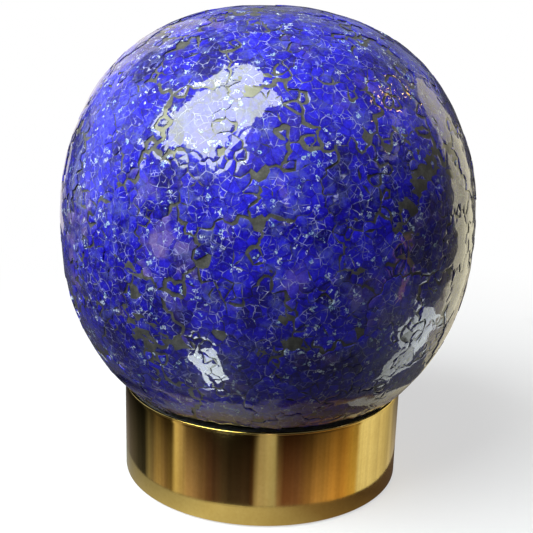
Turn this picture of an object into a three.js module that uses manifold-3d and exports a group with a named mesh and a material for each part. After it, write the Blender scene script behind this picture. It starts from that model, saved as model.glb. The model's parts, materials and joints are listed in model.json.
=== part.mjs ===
// A crackle-glass mosaic globe lamp: a blown glass globe skinned with crackled blue glass set in
// grout, standing loose on a felted seat inside a polished brass drum that holds the lampholder.
// Millimetres, +Z up, origin on the table under the middle of the drum. The cord inlet faces +Y.
import * as THREE from 'three';
import { mergeVertices } from 'three/addons/utils/BufferGeometryUtils.js';
import Module from 'manifold-3d';

// ---- Driving dimensions -------------------------------------------------------------------------

const GAP = 0.3; // air left between neighbouring solids
const ROUND = 36; // facets round a large turned piece
const ROUND_MEDIUM = 24; // facets round the lampholder and bulb
const ROUND_SMALL = 16; // facets round a small one
const HOLE_SIDES = 12; // sides of a screw hole

const GLOBE = {
  radius: 100, // widest radius, over the mosaic
  middle: 125.2, // height of the widest circle
  up: 104.6, // rise from the widest circle to the crown
  down: 104.8, // drop that the lower half would have if it closed
  roundUp: 2.26, // 2 is an ellipse, more is squarer
  roundDown: 2.11,
  mouth: 45, // radius of the glass's open lower end
  steps: 6, // straight pieces in each half of the outline
};
const TILE_THICK = 1.8;
const GROUT_THICK = 1.2;
const GLASS_THICK = 3;
const GROUT_INSET = TILE_THICK + GAP;
const GLASS_INSET = GROUT_INSET + GROUT_THICK + GAP;
const MOSAIC_END = 0.709; // radius at the mosaic's lower edge, as a share of the widest

const DRUM = { radius: 70, wall: 1.2, bottom: 0.8, top: 46.7 };
const DRUM_BORE = DRUM.radius - DRUM.wall;
const INLET = { height: 12, hole: 5, bore: 3.5 };

const SEAT = { inner: 56, outer: 62 }; // radii of the glass that the felt carries
const SEAT_FELT_THICK = 1.2;
const SEAT_THICK = 1.2;
const SEAT_SKIRT_BOTTOM = 36;

const FOOT_FELT = { radius: 67, thick: 2.2, screwHole: 5 };
const PLATE = { radius: DRUM_BORE - 0.4, bottom: FOOT_FELT.thick + GAP, thick: 1.2 };
const PLATE_TOP = PLATE.bottom + PLATE.thick;
const SCREW = { radius: 1.5, hole: 1.8, head: 3, headThick: 1.7 };
const TAB = { width: 10, thick: 1.2, reach: 16, height: 10, screwAt: 58 };
const TAB_ANGLES = [30, 150, 270].map(THREE.MathUtils.degToRad);

const STRAP = { width: 16, thick: 1.5, foot: 44, footStart: 33, topStart: 28, top: 13.5, screwAt: 39 };
const NIPPLE = { radius: 5, bore: 3.5, bottom: 7, top: 20.5, hole: 5.3 };
const NUT = { flats: 14, thick: 3.7 };
const WASHER = { radius: 9, thick: 1 };

const HOLDER_BOTTOM = STRAP.top + WASHER.thick + 2 * GAP;
const HOLDER = {
  radius: 14,
  wall: 1.6,
  joint: HOLDER_BOTTOM + 16, // where the cap and the skirt meet
  top: HOLDER_BOTTOM + 45,
  bore: 8.4, // clears an E14 lamp cap
  insertRadius: 12,
  insertBottom: HOLDER_BOTTOM + 10.4,
  insertTop: HOLDER_BOTTOM + 24,
  wellFloor: HOLDER_BOTTOM + 14.4,
};
const TERMINAL_AT = 8.5; // distance of a holder terminal screw from the middle

const BULB_BOTTOM = HOLDER.wellFloor + 1.4;
const BULB = {
  contact: 2.3,
  contactTop: BULB_BOTTOM + 1,
  insulatorTop: BULB_BOTTOM + 4.1,
  capTop: BULB_BOTTOM + 21.1,
  capRadius: 6.95,
  capCore: 6.35, // radius at the root of the thread
  capBore: 5.3,
  pitch: 2.82, // E14 thread
  neck: 7.9,
  neckTop: HOLDER.top + 0.8,
  housingRadius: 20.5,
  housingTop: BULB_BOTTOM + 46.6,
  boardRadius: 17,
  boardThick: 1.2,
  ball: 22.5,
  domeWall: 1.2,
};
const DOME_OPENING = 19.5; // outer radius where the diffuser meets the housing

const BLOCK = { length: 26, width: 16, height: 11, middle: 30, poles: [-7.5, 0, 7.5], bore: 2.4 };
const POLE_TUBE = { radius: 2.1, bore: 1.35, length: 12, screw: 1.3 };
const POLE_HEIGHT = PLATE_TOP + GAP + 5.6;
const LEAD_RADIUS = 1.1;
const LEAD_SIDES = 6;
const LEAD_STEP = 2.6; // length of a lead's straight pieces, as a share of its radius

// ---- Colours ------------------------------------------------------------------------------------

function material(color, roughness, metalness, extra = {}) {
  return new THREE.MeshStandardMaterial({ color, roughness, metalness, ...extra });
}

const LOOK = {
  tiles: material(0x1b14c8, 0.12, 0),
  grout: material(0x4a4a48, 0.8, 0),
  glass: material(0xdfe8f2, 0.05, 0, { transparent: true, opacity: 0.35 }),
  brass: material(0xc9a94b, 0.16, 1),
  steel: material(0x9a9c9e, 0.35, 1),
  zinc: material(0xb9bbb6, 0.4, 1),
  felt: material(0x161616, 0.95, 0),
  blackPlastic: material(0x1a1a1c, 0.45, 0),
  ceramic: material(0xe8e4da, 0.5, 0),
  whitePlastic: material(0xf0f0ee, 0.4, 0),
  opal: material(0xfafaf5, 0.35, 0),
  nickel: material(0xb8b4a8, 0.25, 1),
  rubber: material(0x202020, 0.7, 0),
  liveLead: material(0x6b3d1e, 0.5, 0),
  neutralLead: material(0x2458b8, 0.5, 0),
  earthLead: material(0x6fa03a, 0.5, 0),
};

// ---- Shape helpers ------------------------------------------------------------------------------

const wasm = await Module();
wasm.setup();

// Merges shared corners and drops the faces that have closed up, such as those on a turning axis.
function tidied(geometry) {
  const bare = new THREE.BufferGeometry();
  bare.setAttribute('position', geometry.getAttribute('position'));
  bare.setIndex(geometry.index);
  const merged = mergeVertices(bare, 1e-3);
  const kept = [];
  const index = merged.index.array;
  for (let i = 0; i < index.length; i += 3) {
    const [a, b, c] = index.slice(i, i + 3);
    if (a !== b && b !== c && c !== a) kept.push(a, b, c);
  }
  merged.setIndex(kept);
  merged.computeVertexNormals();
  return merged;
}

// A solid of revolution about Z. The outline is [radius, height] corners, anticlockwise, which close
// on themselves or start and end on the axis.
function turned(outline, facets = ROUND) {
  const onAxis = outline[0][0] === 0 && outline.at(-1)[0] === 0;
  const corners = onAxis ? outline : [...outline, outline[0]];
  const points = corners.map(([radius, height]) => new THREE.Vector2(radius, height));
  return tidied(new THREE.LatheGeometry(points, facets).rotateX(Math.PI / 2));
}

// A plain round bar or tube standing on z = bottom.
function tube(radius, bore, bottom, top, facets = ROUND_SMALL) {
  const outline = bore
    ? [[bore, bottom], [radius, bottom], [radius, top], [bore, top]]
    : [[0, bottom], [radius, bottom], [radius, top], [0, top]];
  return turned(outline, facets);
}

// A flat outline drawn in XY, standing on z = bottom.
function plate(outline, bottom, thick) {
  const made = new THREE.ExtrudeGeometry(outline, { depth: thick, bevelEnabled: false });
  return tidied(made.translate(0, 0, bottom));
}

function block(sizeX, sizeY, sizeZ, x, y, z) {
  return tidied(new THREE.BoxGeometry(sizeX, sizeY, sizeZ).translate(x, y, z));
}

function polar(radius, angle) {
  return [radius * Math.cos(angle), radius * Math.sin(angle)];
}

// The corners of a many-sided circle.
function ring(x, y, radius, sides) {
  const corners = [];
  for (let i = 0; i < sides; i++) {
    const [dx, dy] = polar(radius, (i * 2 * Math.PI) / sides);
    corners.push(new THREE.Vector2(x + dx, y + dy));
  }
  return corners;
}

function solid(geometry) {
  return new wasm.Manifold(new wasm.Mesh({
    numProp: 3,
    vertProperties: new Float32Array(geometry.getAttribute('position').array),
    triVerts: new Uint32Array(geometry.index.array),
  }));
}

function geometryOf(made) {
  const mesh = made.getMesh();
  const geometry = new THREE.BufferGeometry();
  geometry.setAttribute('position', new THREE.BufferAttribute(new Float32Array(mesh.vertProperties), 3));
  geometry.setIndex(new THREE.BufferAttribute(new Uint32Array(mesh.triVerts), 1));
  geometry.computeVertexNormals();
  return geometry;
}

function cut(body, ...tools) {
  return geometryOf(tools.reduce((left, tool) => left.subtract(solid(tool)), solid(body)));
}

function joined(body, ...others) {
  return geometryOf(others.reduce((whole, other) => whole.add(solid(other)), solid(body)));
}

const lamp = new THREE.Group();

function add(name, geometry, look, place = {}) {
  const mesh = new THREE.Mesh(geometry, look);
  mesh.name = name;
  mesh.position.set(...(place.at ?? [0, 0, 0]));
  mesh.rotation.z = place.turn ?? 0;
  lamp.add(mesh);
  return mesh;
}

// ---- Globe --------------------------------------------------------------------------------------

// One corner of the globe's outline, sunk by inset below the mosaic's surface. An angle of 0 is the
// widest circle, and 90 degrees the crown or, downwards, the bottom.
function globeCorner(inset, angle) {
  const upper = angle >= 0;
  const power = 2 / (upper ? GLOBE.roundUp : GLOBE.roundDown);
  const rise = (upper ? GLOBE.up : GLOBE.down) - inset;
  const radius = (GLOBE.radius - inset) * Math.max(0, Math.cos(angle)) ** power;
  const height = GLOBE.middle + Math.sign(angle) * rise * Math.abs(Math.sin(angle)) ** power;
  return [angle >= Math.PI / 2 ? 0 : radius, height];
}

// The angle below the widest circle at which the outline's radius is this share of the widest.
function angleBelow(share) {
  return -Math.acos(share ** (GLOBE.roundDown / 2));
}

function glassAngle(radius) {
  return angleBelow(radius / (GLOBE.radius - GLASS_INSET));
}

// A shell of the globe from the crown down to the mosaic's lower edge, and on down through any
// further angles given, which run from the lowest up.
function globeShell(outerInset, thick, furtherDown = []) {
  const steps = GLOBE.steps;
  const mosaicEnd = angleBelow(MOSAIC_END);
  const angles = [...furtherDown];
  for (let i = 0; i < steps; i++) angles.push(mosaicEnd * (1 - i / steps));
  for (let i = 0; i <= steps; i++) angles.push((Math.PI / 2) * (i / steps));
  const outer = angles.map((angle) => globeCorner(outerInset, angle));
  const inner = angles.map((angle) => globeCorner(outerInset + thick, angle)).reverse();
  return turned([...outer, ...inner]);
}

function addGlobe() {
  add('crackle_tiles', globeShell(0, TILE_THICK), LOOK.tiles);
  add('grout_bed', globeShell(GROUT_INSET, GROUT_THICK), LOOK.grout);
  const bareGlass = [GLOBE.mouth, SEAT.inner, SEAT.outer].map(glassAngle);
  add('glass_globe', globeShell(GLASS_INSET, GLASS_THICK, bareGlass), LOOK.glass);
}

// ---- Drum and globe seat ------------------------------------------------------------------------

function addDrum() {
  const rim = DRUM.wall / 2; // the sheet's top edge is fully rounded
  const rimArc = [0, 45, 90, 135, 180].map((degrees) => {
    const angle = THREE.MathUtils.degToRad(degrees);
    return [DRUM.radius - rim + rim * Math.cos(angle), DRUM.top - rim + rim * Math.sin(angle)];
  });
  const wall = turned([[DRUM_BORE, DRUM.bottom], [DRUM.radius, DRUM.bottom], ...rimArc]);
  const inlet = tube(INLET.hole, 0, 0, 2 * TAB.reach).rotateX(-Math.PI / 2);
  inlet.translate(0, DRUM.radius - TAB.reach, INLET.height);
  add('drum_shell', cut(wall, inlet), LOOK.brass);
}

// The seat's slope: the straight stretch of the glass between the seat's two radii, moved away from
// the glass by a distance.
function seatLine(distance) {
  const [inner, outer] = [SEAT.inner, SEAT.outer].map((radius) => {
    return new THREE.Vector2(...globeCorner(GLASS_INSET, glassAngle(radius)));
  });
  const along = outer.clone().sub(inner).normalize();
  const away = new THREE.Vector2(along.y, -along.x).multiplyScalar(distance);
  return [inner.add(away).toArray(), outer.add(away).toArray()];
}

function addSeat() {
  const feltBack = GAP + SEAT_FELT_THICK;
  const [feltInner, feltOuter] = seatLine(GAP);
  const [backInner, backOuter] = seatLine(feltBack);
  add('seat_felt', turned([feltInner, backInner, backOuter, feltOuter]), LOOK.felt);

  const [topInner, topOuter] = seatLine(feltBack + GAP);
  const [underInner, underOuter] = seatLine(feltBack + GAP + SEAT_THICK);
  const skirt = DRUM_BORE - GAP;
  const shelf = topOuter[1];
  // Where the underside of the slope meets the underside of the shelf.
  const slope = (underOuter[1] - underInner[1]) / (underOuter[0] - underInner[0]);
  const underCorner = underInner[0] + (shelf - SEAT_THICK - underInner[1]) / slope;
  add('globe_seat', turned([
    topInner,
    underInner,
    [underCorner, shelf - SEAT_THICK],
    [skirt - SEAT_THICK, shelf - SEAT_THICK],
    [skirt - SEAT_THICK, SEAT_SKIRT_BOTTOM],
    [skirt, SEAT_SKIRT_BOTTOM],
    [skirt, shelf],
    topOuter,
  ]), LOOK.steel);
}

// ---- Base plate, its tabs, screws and foot felt -------------------------------------------------

// A pan-head screw standing head down on z = 0, with a cross recess in its head.
function panScrew(length) {
  const { radius, head, headThick } = SCREW;
  const body = turned([
    [0, 0],
    [head * 0.72, 0],
    [head, headThick * 0.45],
    [head, headThick],
    [radius, headThick],
    [radius, headThick + length - 0.6],
    [radius * 0.6, headThick + length],
    [0, headThick + length],
  ], HOLE_SIDES);
  const recess = [head * 1.1, head * 0.28, headThick * 0.9];
  const across = block(recess[0], recess[1], recess[2], 0, 0, 0);
  const along = block(recess[1], recess[0], recess[2], 0, 0, 0);
  return cut(body, across, along);
}

function addPlate() {
  const felt = new THREE.Shape(ring(0, 0, FOOT_FELT.radius, ROUND));
  const disc = new THREE.Shape(ring(0, 0, PLATE.radius, ROUND));
  for (const angle of TAB_ANGLES) {
    const [x, y] = polar(TAB.screwAt, angle);
    felt.holes.push(new THREE.Path(ring(x, y, FOOT_FELT.screwHole, HOLE_SIDES)));
    disc.holes.push(new THREE.Path(ring(x, y, SCREW.hole, HOLE_SIDES)));
  }
  for (const side of [-1, 1]) {
    disc.holes.push(new THREE.Path(ring(side * STRAP.screwAt, 0, SCREW.hole, HOLE_SIDES)));
  }
  add('foot_felt', plate(felt, 0, FOOT_FELT.thick), LOOK.felt);
  add('base_plate', plate(disc, PLATE.bottom, PLATE.thick), LOOK.zinc);

  const footBottom = PLATE_TOP + GAP;
  const outer = DRUM_BORE - 3 * GAP;
  TAB_ANGLES.forEach((turn, i) => {
    const number = i + 1;
    const foot = block(
      TAB.reach, TAB.width, TAB.thick,
      outer - TAB.reach / 2, 0, footBottom + TAB.thick / 2,
    );
    const leg = block(
      TAB.thick, TAB.width, TAB.height,
      outer - TAB.thick / 2, 0, footBottom + TAB.height / 2,
    );
    const hole = tube(SCREW.hole, 0, footBottom - 1, footBottom + TAB.thick + 1, 16);
    hole.translate(TAB.screwAt, 0, 0);
    add(`drum_tab_${number}`, cut(joined(foot, leg), hole), LOOK.zinc, { turn });
    const [x, y] = polar(TAB.screwAt, turn);
    const headBottom = PLATE.bottom - GAP - SCREW.headThick;
    add(`base_screw_${number}`, panScrew(6), LOOK.steel, { at: [x, y, headBottom] });
  });
}

// ---- Cord inlet ---------------------------------------------------------------------------------

// A rubber grommet snapped into the drum's wall, turned about the inlet's axis.
function addGrommet() {
  const neck = INLET.hole - GAP;
  const wallInside = -2.2;
  const flangeInside = 6.3;
  const flangeOutside = 7;
  const grommet = turned([
    [INLET.bore, wallInside - 2],
    [flangeInside - 0.6, wallInside - 2],
    [flangeInside, wallInside - 1.2],
    [flangeInside, wallInside],
    [neck, wallInside],
    [neck, GAP],
    [flangeOutside, GAP],
    [flangeOutside, GAP + 1],
    [flangeOutside - 1, GAP + 2],
    [INLET.bore + 0.5, GAP + 2],
    [INLET.bore, GAP + 1.5],
  ], ROUND_MEDIUM);
  // Turned so that its own +Z points out of the drum, along +Y.
  grommet.rotateX(-Math.PI / 2);
  add('cord_grommet', grommet, LOOK.rubber, { at: [0, DRUM.radius, INLET.height] });
}

// ---- Strap, nipple and lampholder ---------------------------------------------------------------

function addStrap() {
  const { foot, footStart, topStart, thick, top, width } = STRAP;
  const low = PLATE_TOP + GAP;
  const lift = thick * 0.6; // moves the inner bends so that the legs keep the strip's thickness
  const right = [[foot, low], [foot, low + thick], [footStart + lift, low + thick], [topStart + lift, top]];
  const rightUnder = [[topStart, top - thick], [footStart, low]];
  const mirror = ([x, z]) => [-x, z];
  const outline = [
    ...right,
    ...right.map(mirror).reverse(),
    ...rightUnder.map(mirror).reverse(),
    ...rightUnder,
  ].map(([x, z]) => new THREE.Vector2(x, z));
  const strip = new THREE.ExtrudeGeometry(new THREE.Shape(outline), { depth: width, bevelEnabled: false });
  const body = tidied(strip.rotateX(Math.PI / 2).translate(0, width / 2, 0));
  const nippleHole = tube(NIPPLE.hole, 0, top - 5, top + 5);
  const screwHoles = [-1, 1].map((side) => {
    const hole = tube(SCREW.hole, 0, low - 2, low + thick + 2, 16);
    return hole.translate(side * STRAP.screwAt, 0, 0);
  });
  add('bridge_strap', cut(body, nippleHole, ...screwHoles), LOOK.zinc);

  // The earth lead's ring tag lies under the head of the second screw.
  const tagBottom = low + thick + GAP;
  const tagThick = 0.8;
  const ring = tube(4.2, SCREW.hole, tagBottom, tagBottom + tagThick, ROUND_SMALL);
  const tail = block(3, 6, tagThick, 0, 6.6, tagBottom + tagThick / 2);
  add('earth_tag', joined(ring, tail), LOOK.zinc, { at: [STRAP.screwAt, 0, 0] });

  [-1, 1].forEach((side, i) => {
    const under = side > 0 ? tagBottom + tagThick + GAP : low + thick + GAP;
    const screw = panScrew(under - PLATE.bottom).rotateX(Math.PI);
    const at = [side * STRAP.screwAt, 0, under + SCREW.headThick];
    add(`strap_screw_${i + 1}`, screw, LOOK.steel, { at });
  });
}

function addNipple() {
  const { radius, bore, bottom, top } = NIPPLE;
  // Rounded M10 threads, drawn as rings.
  const crests = 6;
  const step = (top - bottom) / crests;
  const outside = [];
  for (let i = 0; i < crests; i++) {
    outside.push([radius - 0.35, bottom + i * step], [radius, bottom + (i + 0.5) * step]);
  }
  outside.push([radius - 0.35, top]);
  add('nipple', turned([[bore, bottom], ...outside, [bore, top]], ROUND_SMALL), LOOK.brass);

  const hexagon = new THREE.Shape(ring(0, 0, NUT.flats / 2 / Math.cos(Math.PI / 6), 6));
  hexagon.holes.push(new THREE.Path(ring(0, 0, NIPPLE.hole, ROUND_SMALL)));
  const strapUnder = STRAP.top - STRAP.thick;
  add('nipple_nut', plate(hexagon, strapUnder - GAP - NUT.thick, NUT.thick), LOOK.brass);
  const washerBottom = STRAP.top + GAP;
  const washer = tube(WASHER.radius, NIPPLE.hole, washerBottom, washerBottom + WASHER.thick);
  add('nipple_washer', washer, LOOK.steel);
}

function addHolder() {
  const { radius, wall, joint, top, bore, insertRadius, insertBottom, insertTop, wellFloor } = HOLDER;
  const bottom = HOLDER_BOTTOM;
  const hollow = radius - wall;
  add('holder_cap', turned([
    [NIPPLE.hole, bottom],
    [radius - 4, bottom],
    [radius, bottom + 4],
    [radius, joint],
    [hollow, joint],
    [hollow, bottom + 4.6],
    [radius - 4.6, bottom + 2],
    [NIPPLE.hole, bottom + 2],
  ], ROUND_MEDIUM), LOOK.blackPlastic);

  add('holder_skirt', turned([
    [bore, insertTop + GAP],
    [hollow, insertTop + GAP],
    [hollow, joint + GAP],
    [radius, joint + GAP],
    [radius, top - 3],
    [radius - 0.8, top - 1],
    [radius - 2.4, top],
    [bore, top],
  ], ROUND_MEDIUM), LOOK.blackPlastic);

  const insertBody = turned([
    [0, insertBottom],
    [insertRadius, insertBottom],
    [insertRadius, insertTop],
    [bore, insertTop],
    [bore, wellFloor],
    [0, wellFloor],
  ], ROUND_MEDIUM);
  // The two terminal screws go up into the insert, beside the well.
  const screwHoles = [-1, 1].map((side) => {
    const hole = tube(SCREW.hole, 0, insertBottom - 1, insertBottom + 3.2, 16);
    return hole.translate(side * TERMINAL_AT, 0, 0);
  });
  add('holder_insert', cut(insertBody, ...screwHoles), LOOK.ceramic);
  const headBottom = insertBottom - GAP - SCREW.headThick;
  [-1, 1].forEach((side, i) => {
    const at = [side * TERMINAL_AT, 0, headBottom];
    add(`holder_terminal_screw_${i + 1}`, panScrew(2.6), LOOK.brass, { at });
  });

  // Sprung tongues: one under the lamp cap's centre contact, one against its side.
  const strip = 0.5;
  const flat = block(9, 4, strip, -2.5, 0, wellFloor + GAP + strip / 2);
  const sprung = block(5, 4, strip, 0, 0, 0).rotateY(THREE.MathUtils.degToRad(-6));
  sprung.translate(0.4, 0, wellFloor + GAP + strip / 2 + 0.2);
  add('centre_contact', joined(flat, sprung), LOOK.brass);
  const sideHeight = insertTop - wellFloor - 2;
  const side = block(strip, 4.5, sideHeight, bore - GAP - strip / 2 - 0.25, 0, wellFloor + 1 + sideHeight / 2);
  add('side_contact', side, LOOK.brass);
}

// ---- Bulb ---------------------------------------------------------------------------------------

function addBulb() {
  const { contact, contactTop, insulatorTop, capTop, capRadius, capCore, capBore, pitch } = BULB;
  add('bulb_contact', turned([
    [0, BULB_BOTTOM],
    [contact * 0.7, BULB_BOTTOM],
    [contact, BULB_BOTTOM + 0.5],
    [contact, contactTop],
    [0, contactTop],
  ], ROUND_SMALL), LOOK.nickel);

  const insulatorBottom = contactTop + GAP;
  add('bulb_insulator', turned([
    [0, insulatorBottom],
    [contact + 0.6, insulatorBottom],
    [capCore - 0.5, insulatorTop - 0.8],
    [capCore - 0.5, insulatorTop],
    [0, insulatorTop],
  ], ROUND_SMALL), LOOK.blackPlastic);

  // The screw shell: rounded E14 threads drawn as rings, then a plain collar.
  const shellBottom = insulatorTop + GAP;
  const rings = 5;
  const outside = [];
  for (let i = 0; i < rings; i++) {
    outside.push([capCore, shellBottom + i * pitch], [capRadius, shellBottom + (i + 0.5) * pitch]);
  }
  outside.push([capCore, shellBottom + rings * pitch], [capCore + 0.2, capTop]);
  add('bulb_cap', turned([[capBore, shellBottom], ...outside, [capBore, capTop]], ROUND_SMALL), LOOK.nickel);

  const { neck, neckTop, housingRadius, housingTop, boardRadius, boardThick, ball, domeWall } = BULB;
  const boardSeat = housingTop - 3.5;
  const flare = [];
  for (const share of [0.25, 0.5, 0.75]) {
    const angle = (share * Math.PI) / 2;
    const radius = neck + (housingRadius - neck) * (1 - Math.cos(angle));
    flare.push([radius, neckTop + (housingTop - 4 - neckTop) * Math.sin(angle)]);
  }
  add('bulb_housing', turned([
    [0, capTop - 4],
    [capBore - GAP, capTop - 4],
    [capBore - GAP, capTop + GAP],
    [neck, capTop + GAP],
    [neck, neckTop],
    ...flare,
    [housingRadius, housingTop - 4],
    [housingRadius, housingTop],
    [boardRadius + GAP, housingTop],
    [boardRadius + GAP, boardSeat],
    [0, boardSeat],
  ], ROUND_MEDIUM), LOOK.whitePlastic);

  const boardBottom = boardSeat + GAP;
  const disc = tube(boardRadius, 0, boardBottom, boardBottom + boardThick, ROUND_MEDIUM);
  const chips = [0, 1, 2, 3, 4, 5].map((i) => {
    const [x, y] = polar(boardRadius * 0.6, (i * Math.PI) / 3);
    return block(3, 3, 1.2, x, y, boardBottom + boardThick + 0.3);
  });
  add('led_board', joined(disc, ...chips), LOOK.ceramic);

  // The diffuser is most of a ball, open where it stands on the housing.
  const domeBottom = housingTop + GAP;
  const start = -Math.acos(DOME_OPENING / ball);
  const middle = domeBottom - ball * Math.sin(start);
  const steps = 8;
  const outer = [];
  const inner = [];
  for (let i = 0; i <= steps; i++) {
    const angle = start + (Math.PI / 2 - start) * (i / steps);
    const [cos, sin] = i === steps ? [0, 1] : [Math.cos(angle), Math.sin(angle)];
    outer.push([ball * cos, middle + ball * sin]);
    inner.unshift([(ball - domeWall) * cos, middle + (ball - domeWall) * sin]);
  }
  inner[steps][1] = domeBottom;
  add('bulb_dome', turned([...outer, ...inner], ROUND_MEDIUM), LOOK.opal);
}

// ---- Wiring inside the drum ---------------------------------------------------------------------

function lead(points, radius = LEAD_RADIUS) {
  const path = new THREE.CatmullRomCurve3(points.map((point) => new THREE.Vector3(...point)));
  const section = new THREE.Shape(ring(0, 0, radius, LEAD_SIDES));
  const steps = Math.round(path.getLength() / (LEAD_STEP * radius));
  return tidied(new THREE.ExtrudeGeometry(section, { steps, extrudePath: path, bevelEnabled: false }));
}

function addTerminalBlock() {
  const { length, width, height, middle, poles, bore } = BLOCK;
  const bottom = PLATE_TOP + GAP;
  const tools = [];
  for (const x of poles) {
    const along = tube(bore, 0, -width, width, 16).rotateX(Math.PI / 2);
    tools.push(along.translate(x, middle, POLE_HEIGHT));
    for (const side of [-1, 1]) {
      const down = tube(POLE_TUBE.screw + GAP, 0, POLE_HEIGHT, bottom + height + 1, 12);
      tools.push(down.translate(x, middle + side * 3.5, 0));
    }
  }
  const body = block(length, width, height, 0, middle, bottom + height / 2);
  add('terminal_block', cut(body, ...tools), LOOK.ceramic);

  // Each pole is a brass tube with a clamping screw at each end.
  poles.forEach((x, i) => {
    const barrel = tube(POLE_TUBE.radius, POLE_TUBE.bore, -POLE_TUBE.length / 2, POLE_TUBE.length / 2, 16);
    barrel.rotateX(Math.PI / 2);
    const screws = [-1, 1].map((side) => {
      const screw = tube(POLE_TUBE.screw, 0, POLE_TUBE.bore + 0.3, 4.6, 12);
      return screw.translate(0, side * 3.5, 0);
    });
    add(`terminal_pole_${i + 1}`, joined(barrel, ...screws), LOOK.brass, { at: [x, middle, POLE_HEIGHT] });
  });
}

function addLeads() {
  const poleMouth = BLOCK.middle - POLE_TUBE.length / 2;
  const floor = PLATE_TOP + GAP + LEAD_RADIUS;
  const aside = 1.35; // half the distance between the two leads in the nipple
  const terminal = HOLDER.insertBottom - GAP - SCREW.headThick / 2;
  const rise = (side, pole, bend) => lead([
    [pole, poleMouth + 2, POLE_HEIGHT],
    [pole, poleMouth - 2.5, POLE_HEIGHT],
    [pole + bend * 0.2, poleMouth - 7, POLE_HEIGHT - 2],
    [pole + bend * 0.6, 11.5, floor + 0.6],
    [side * 1.8, 7, floor],
    [side * aside, 3.4, floor + 0.1],
    [side * aside, 0.9, floor + 1.9],
    [side * aside, 0.1, floor + 5],
    [side * aside, 0, NIPPLE.top - 3],
    [side * (aside + 0.1), 0, NIPPLE.top + 0.5],
    [side * (aside + 1.2), 0, terminal - 1.2],
    [side * (TERMINAL_AT - SCREW.head - 2.2), 0, terminal - 0.15],
    [side * (TERMINAL_AT - SCREW.head - 0.4), 0, terminal],
  ]);
  const [livePole, neutralPole, earthPole] = BLOCK.poles;
  add('live_lead', rise(-1, livePole, -1.8 - livePole), LOOK.liveLead);
  add('neutral_lead', rise(1, neutralPole, 1.8 - neutralPole), LOOK.neutralLead);

  const tagTop = PLATE_TOP + 2 * GAP + STRAP.thick + 0.8;
  const tagHeight = tagTop + GAP + LEAD_RADIUS;
  add('earth_lead', lead([
    [earthPole, poleMouth + 2, POLE_HEIGHT],
    [earthPole, poleMouth - 2, POLE_HEIGHT],
    [earthPole + 3, poleMouth - 5.5, POLE_HEIGHT - 0.4],
    [20, 17, POLE_HEIGHT - 1],
    [31, 18.5, tagHeight + 0.6],
    [37.5, 15.5, tagHeight],
    [STRAP.screwAt, 11, tagHeight],
    [STRAP.screwAt, 7.5, tagHeight],
  ]), LOOK.earthLead);
}

// ---- Assembly -----------------------------------------------------------------------------------

addDrum();
addSeat();
addPlate();
addGrommet();
addStrap();
addNipple();
addHolder();
addTerminalBlock();
addLeads();
addBulb();
addGlobe();

export default lamp;
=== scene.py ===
"""Looks for the mosaic glass table lamp: a crackled blue glass globe on a polished brass drum.

Shapes are worked out in millimetres, in the frame of the CAD model, and become metres in piece().
"""

import json
import math

import bmesh
import bpy
import numpy as np
from mathutils import Matrix, Vector

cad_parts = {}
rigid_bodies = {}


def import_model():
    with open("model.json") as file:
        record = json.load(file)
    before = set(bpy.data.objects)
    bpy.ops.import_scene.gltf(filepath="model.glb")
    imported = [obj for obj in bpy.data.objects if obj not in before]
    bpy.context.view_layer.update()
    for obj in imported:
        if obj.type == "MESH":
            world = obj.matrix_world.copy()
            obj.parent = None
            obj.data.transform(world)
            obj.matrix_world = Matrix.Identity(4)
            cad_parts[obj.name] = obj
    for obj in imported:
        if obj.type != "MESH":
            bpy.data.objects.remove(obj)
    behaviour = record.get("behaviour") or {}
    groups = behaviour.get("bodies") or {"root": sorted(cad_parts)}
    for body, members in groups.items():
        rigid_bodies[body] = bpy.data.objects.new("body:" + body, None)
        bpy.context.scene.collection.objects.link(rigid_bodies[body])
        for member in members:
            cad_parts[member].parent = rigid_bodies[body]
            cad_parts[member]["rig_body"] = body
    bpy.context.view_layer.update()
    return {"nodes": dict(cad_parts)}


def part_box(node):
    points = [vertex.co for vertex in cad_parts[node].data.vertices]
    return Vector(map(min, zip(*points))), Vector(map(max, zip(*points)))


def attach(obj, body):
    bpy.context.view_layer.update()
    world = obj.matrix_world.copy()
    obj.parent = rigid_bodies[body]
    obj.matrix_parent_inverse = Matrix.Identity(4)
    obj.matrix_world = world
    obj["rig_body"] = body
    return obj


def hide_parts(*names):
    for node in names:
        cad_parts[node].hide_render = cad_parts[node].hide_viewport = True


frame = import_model()

MM = 0.001
UP = np.array([0.0, 0.0, 1.0])


def box(node):
    """A CAD node's lowest and highest corners, in millimetres."""
    low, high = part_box(node)
    return np.array(low) / MM, np.array(high) / MM


# ---- Driving dimensions ---------------------------------------------------------------------

TILES_LOW, TILES_HIGH = box("crackle_tiles")
GLOBE_RADIUS = TILES_HIGH[0]
GLOBE_MIDDLE = 125.2  # height of the widest circle
GLOBE_UP = TILES_HIGH[2] - GLOBE_MIDDLE
GLOBE_DOWN = 104.8  # drop that the lower half would have if it closed
ROUND_UP = 2.26  # 2 is an ellipse, more is squarer
ROUND_DOWN = 2.11
MOSAIC_END = TILES_LOW[2] + 1.6  # lowest middle of a cell of crackle
TILE_THICK = 1.7

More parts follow.
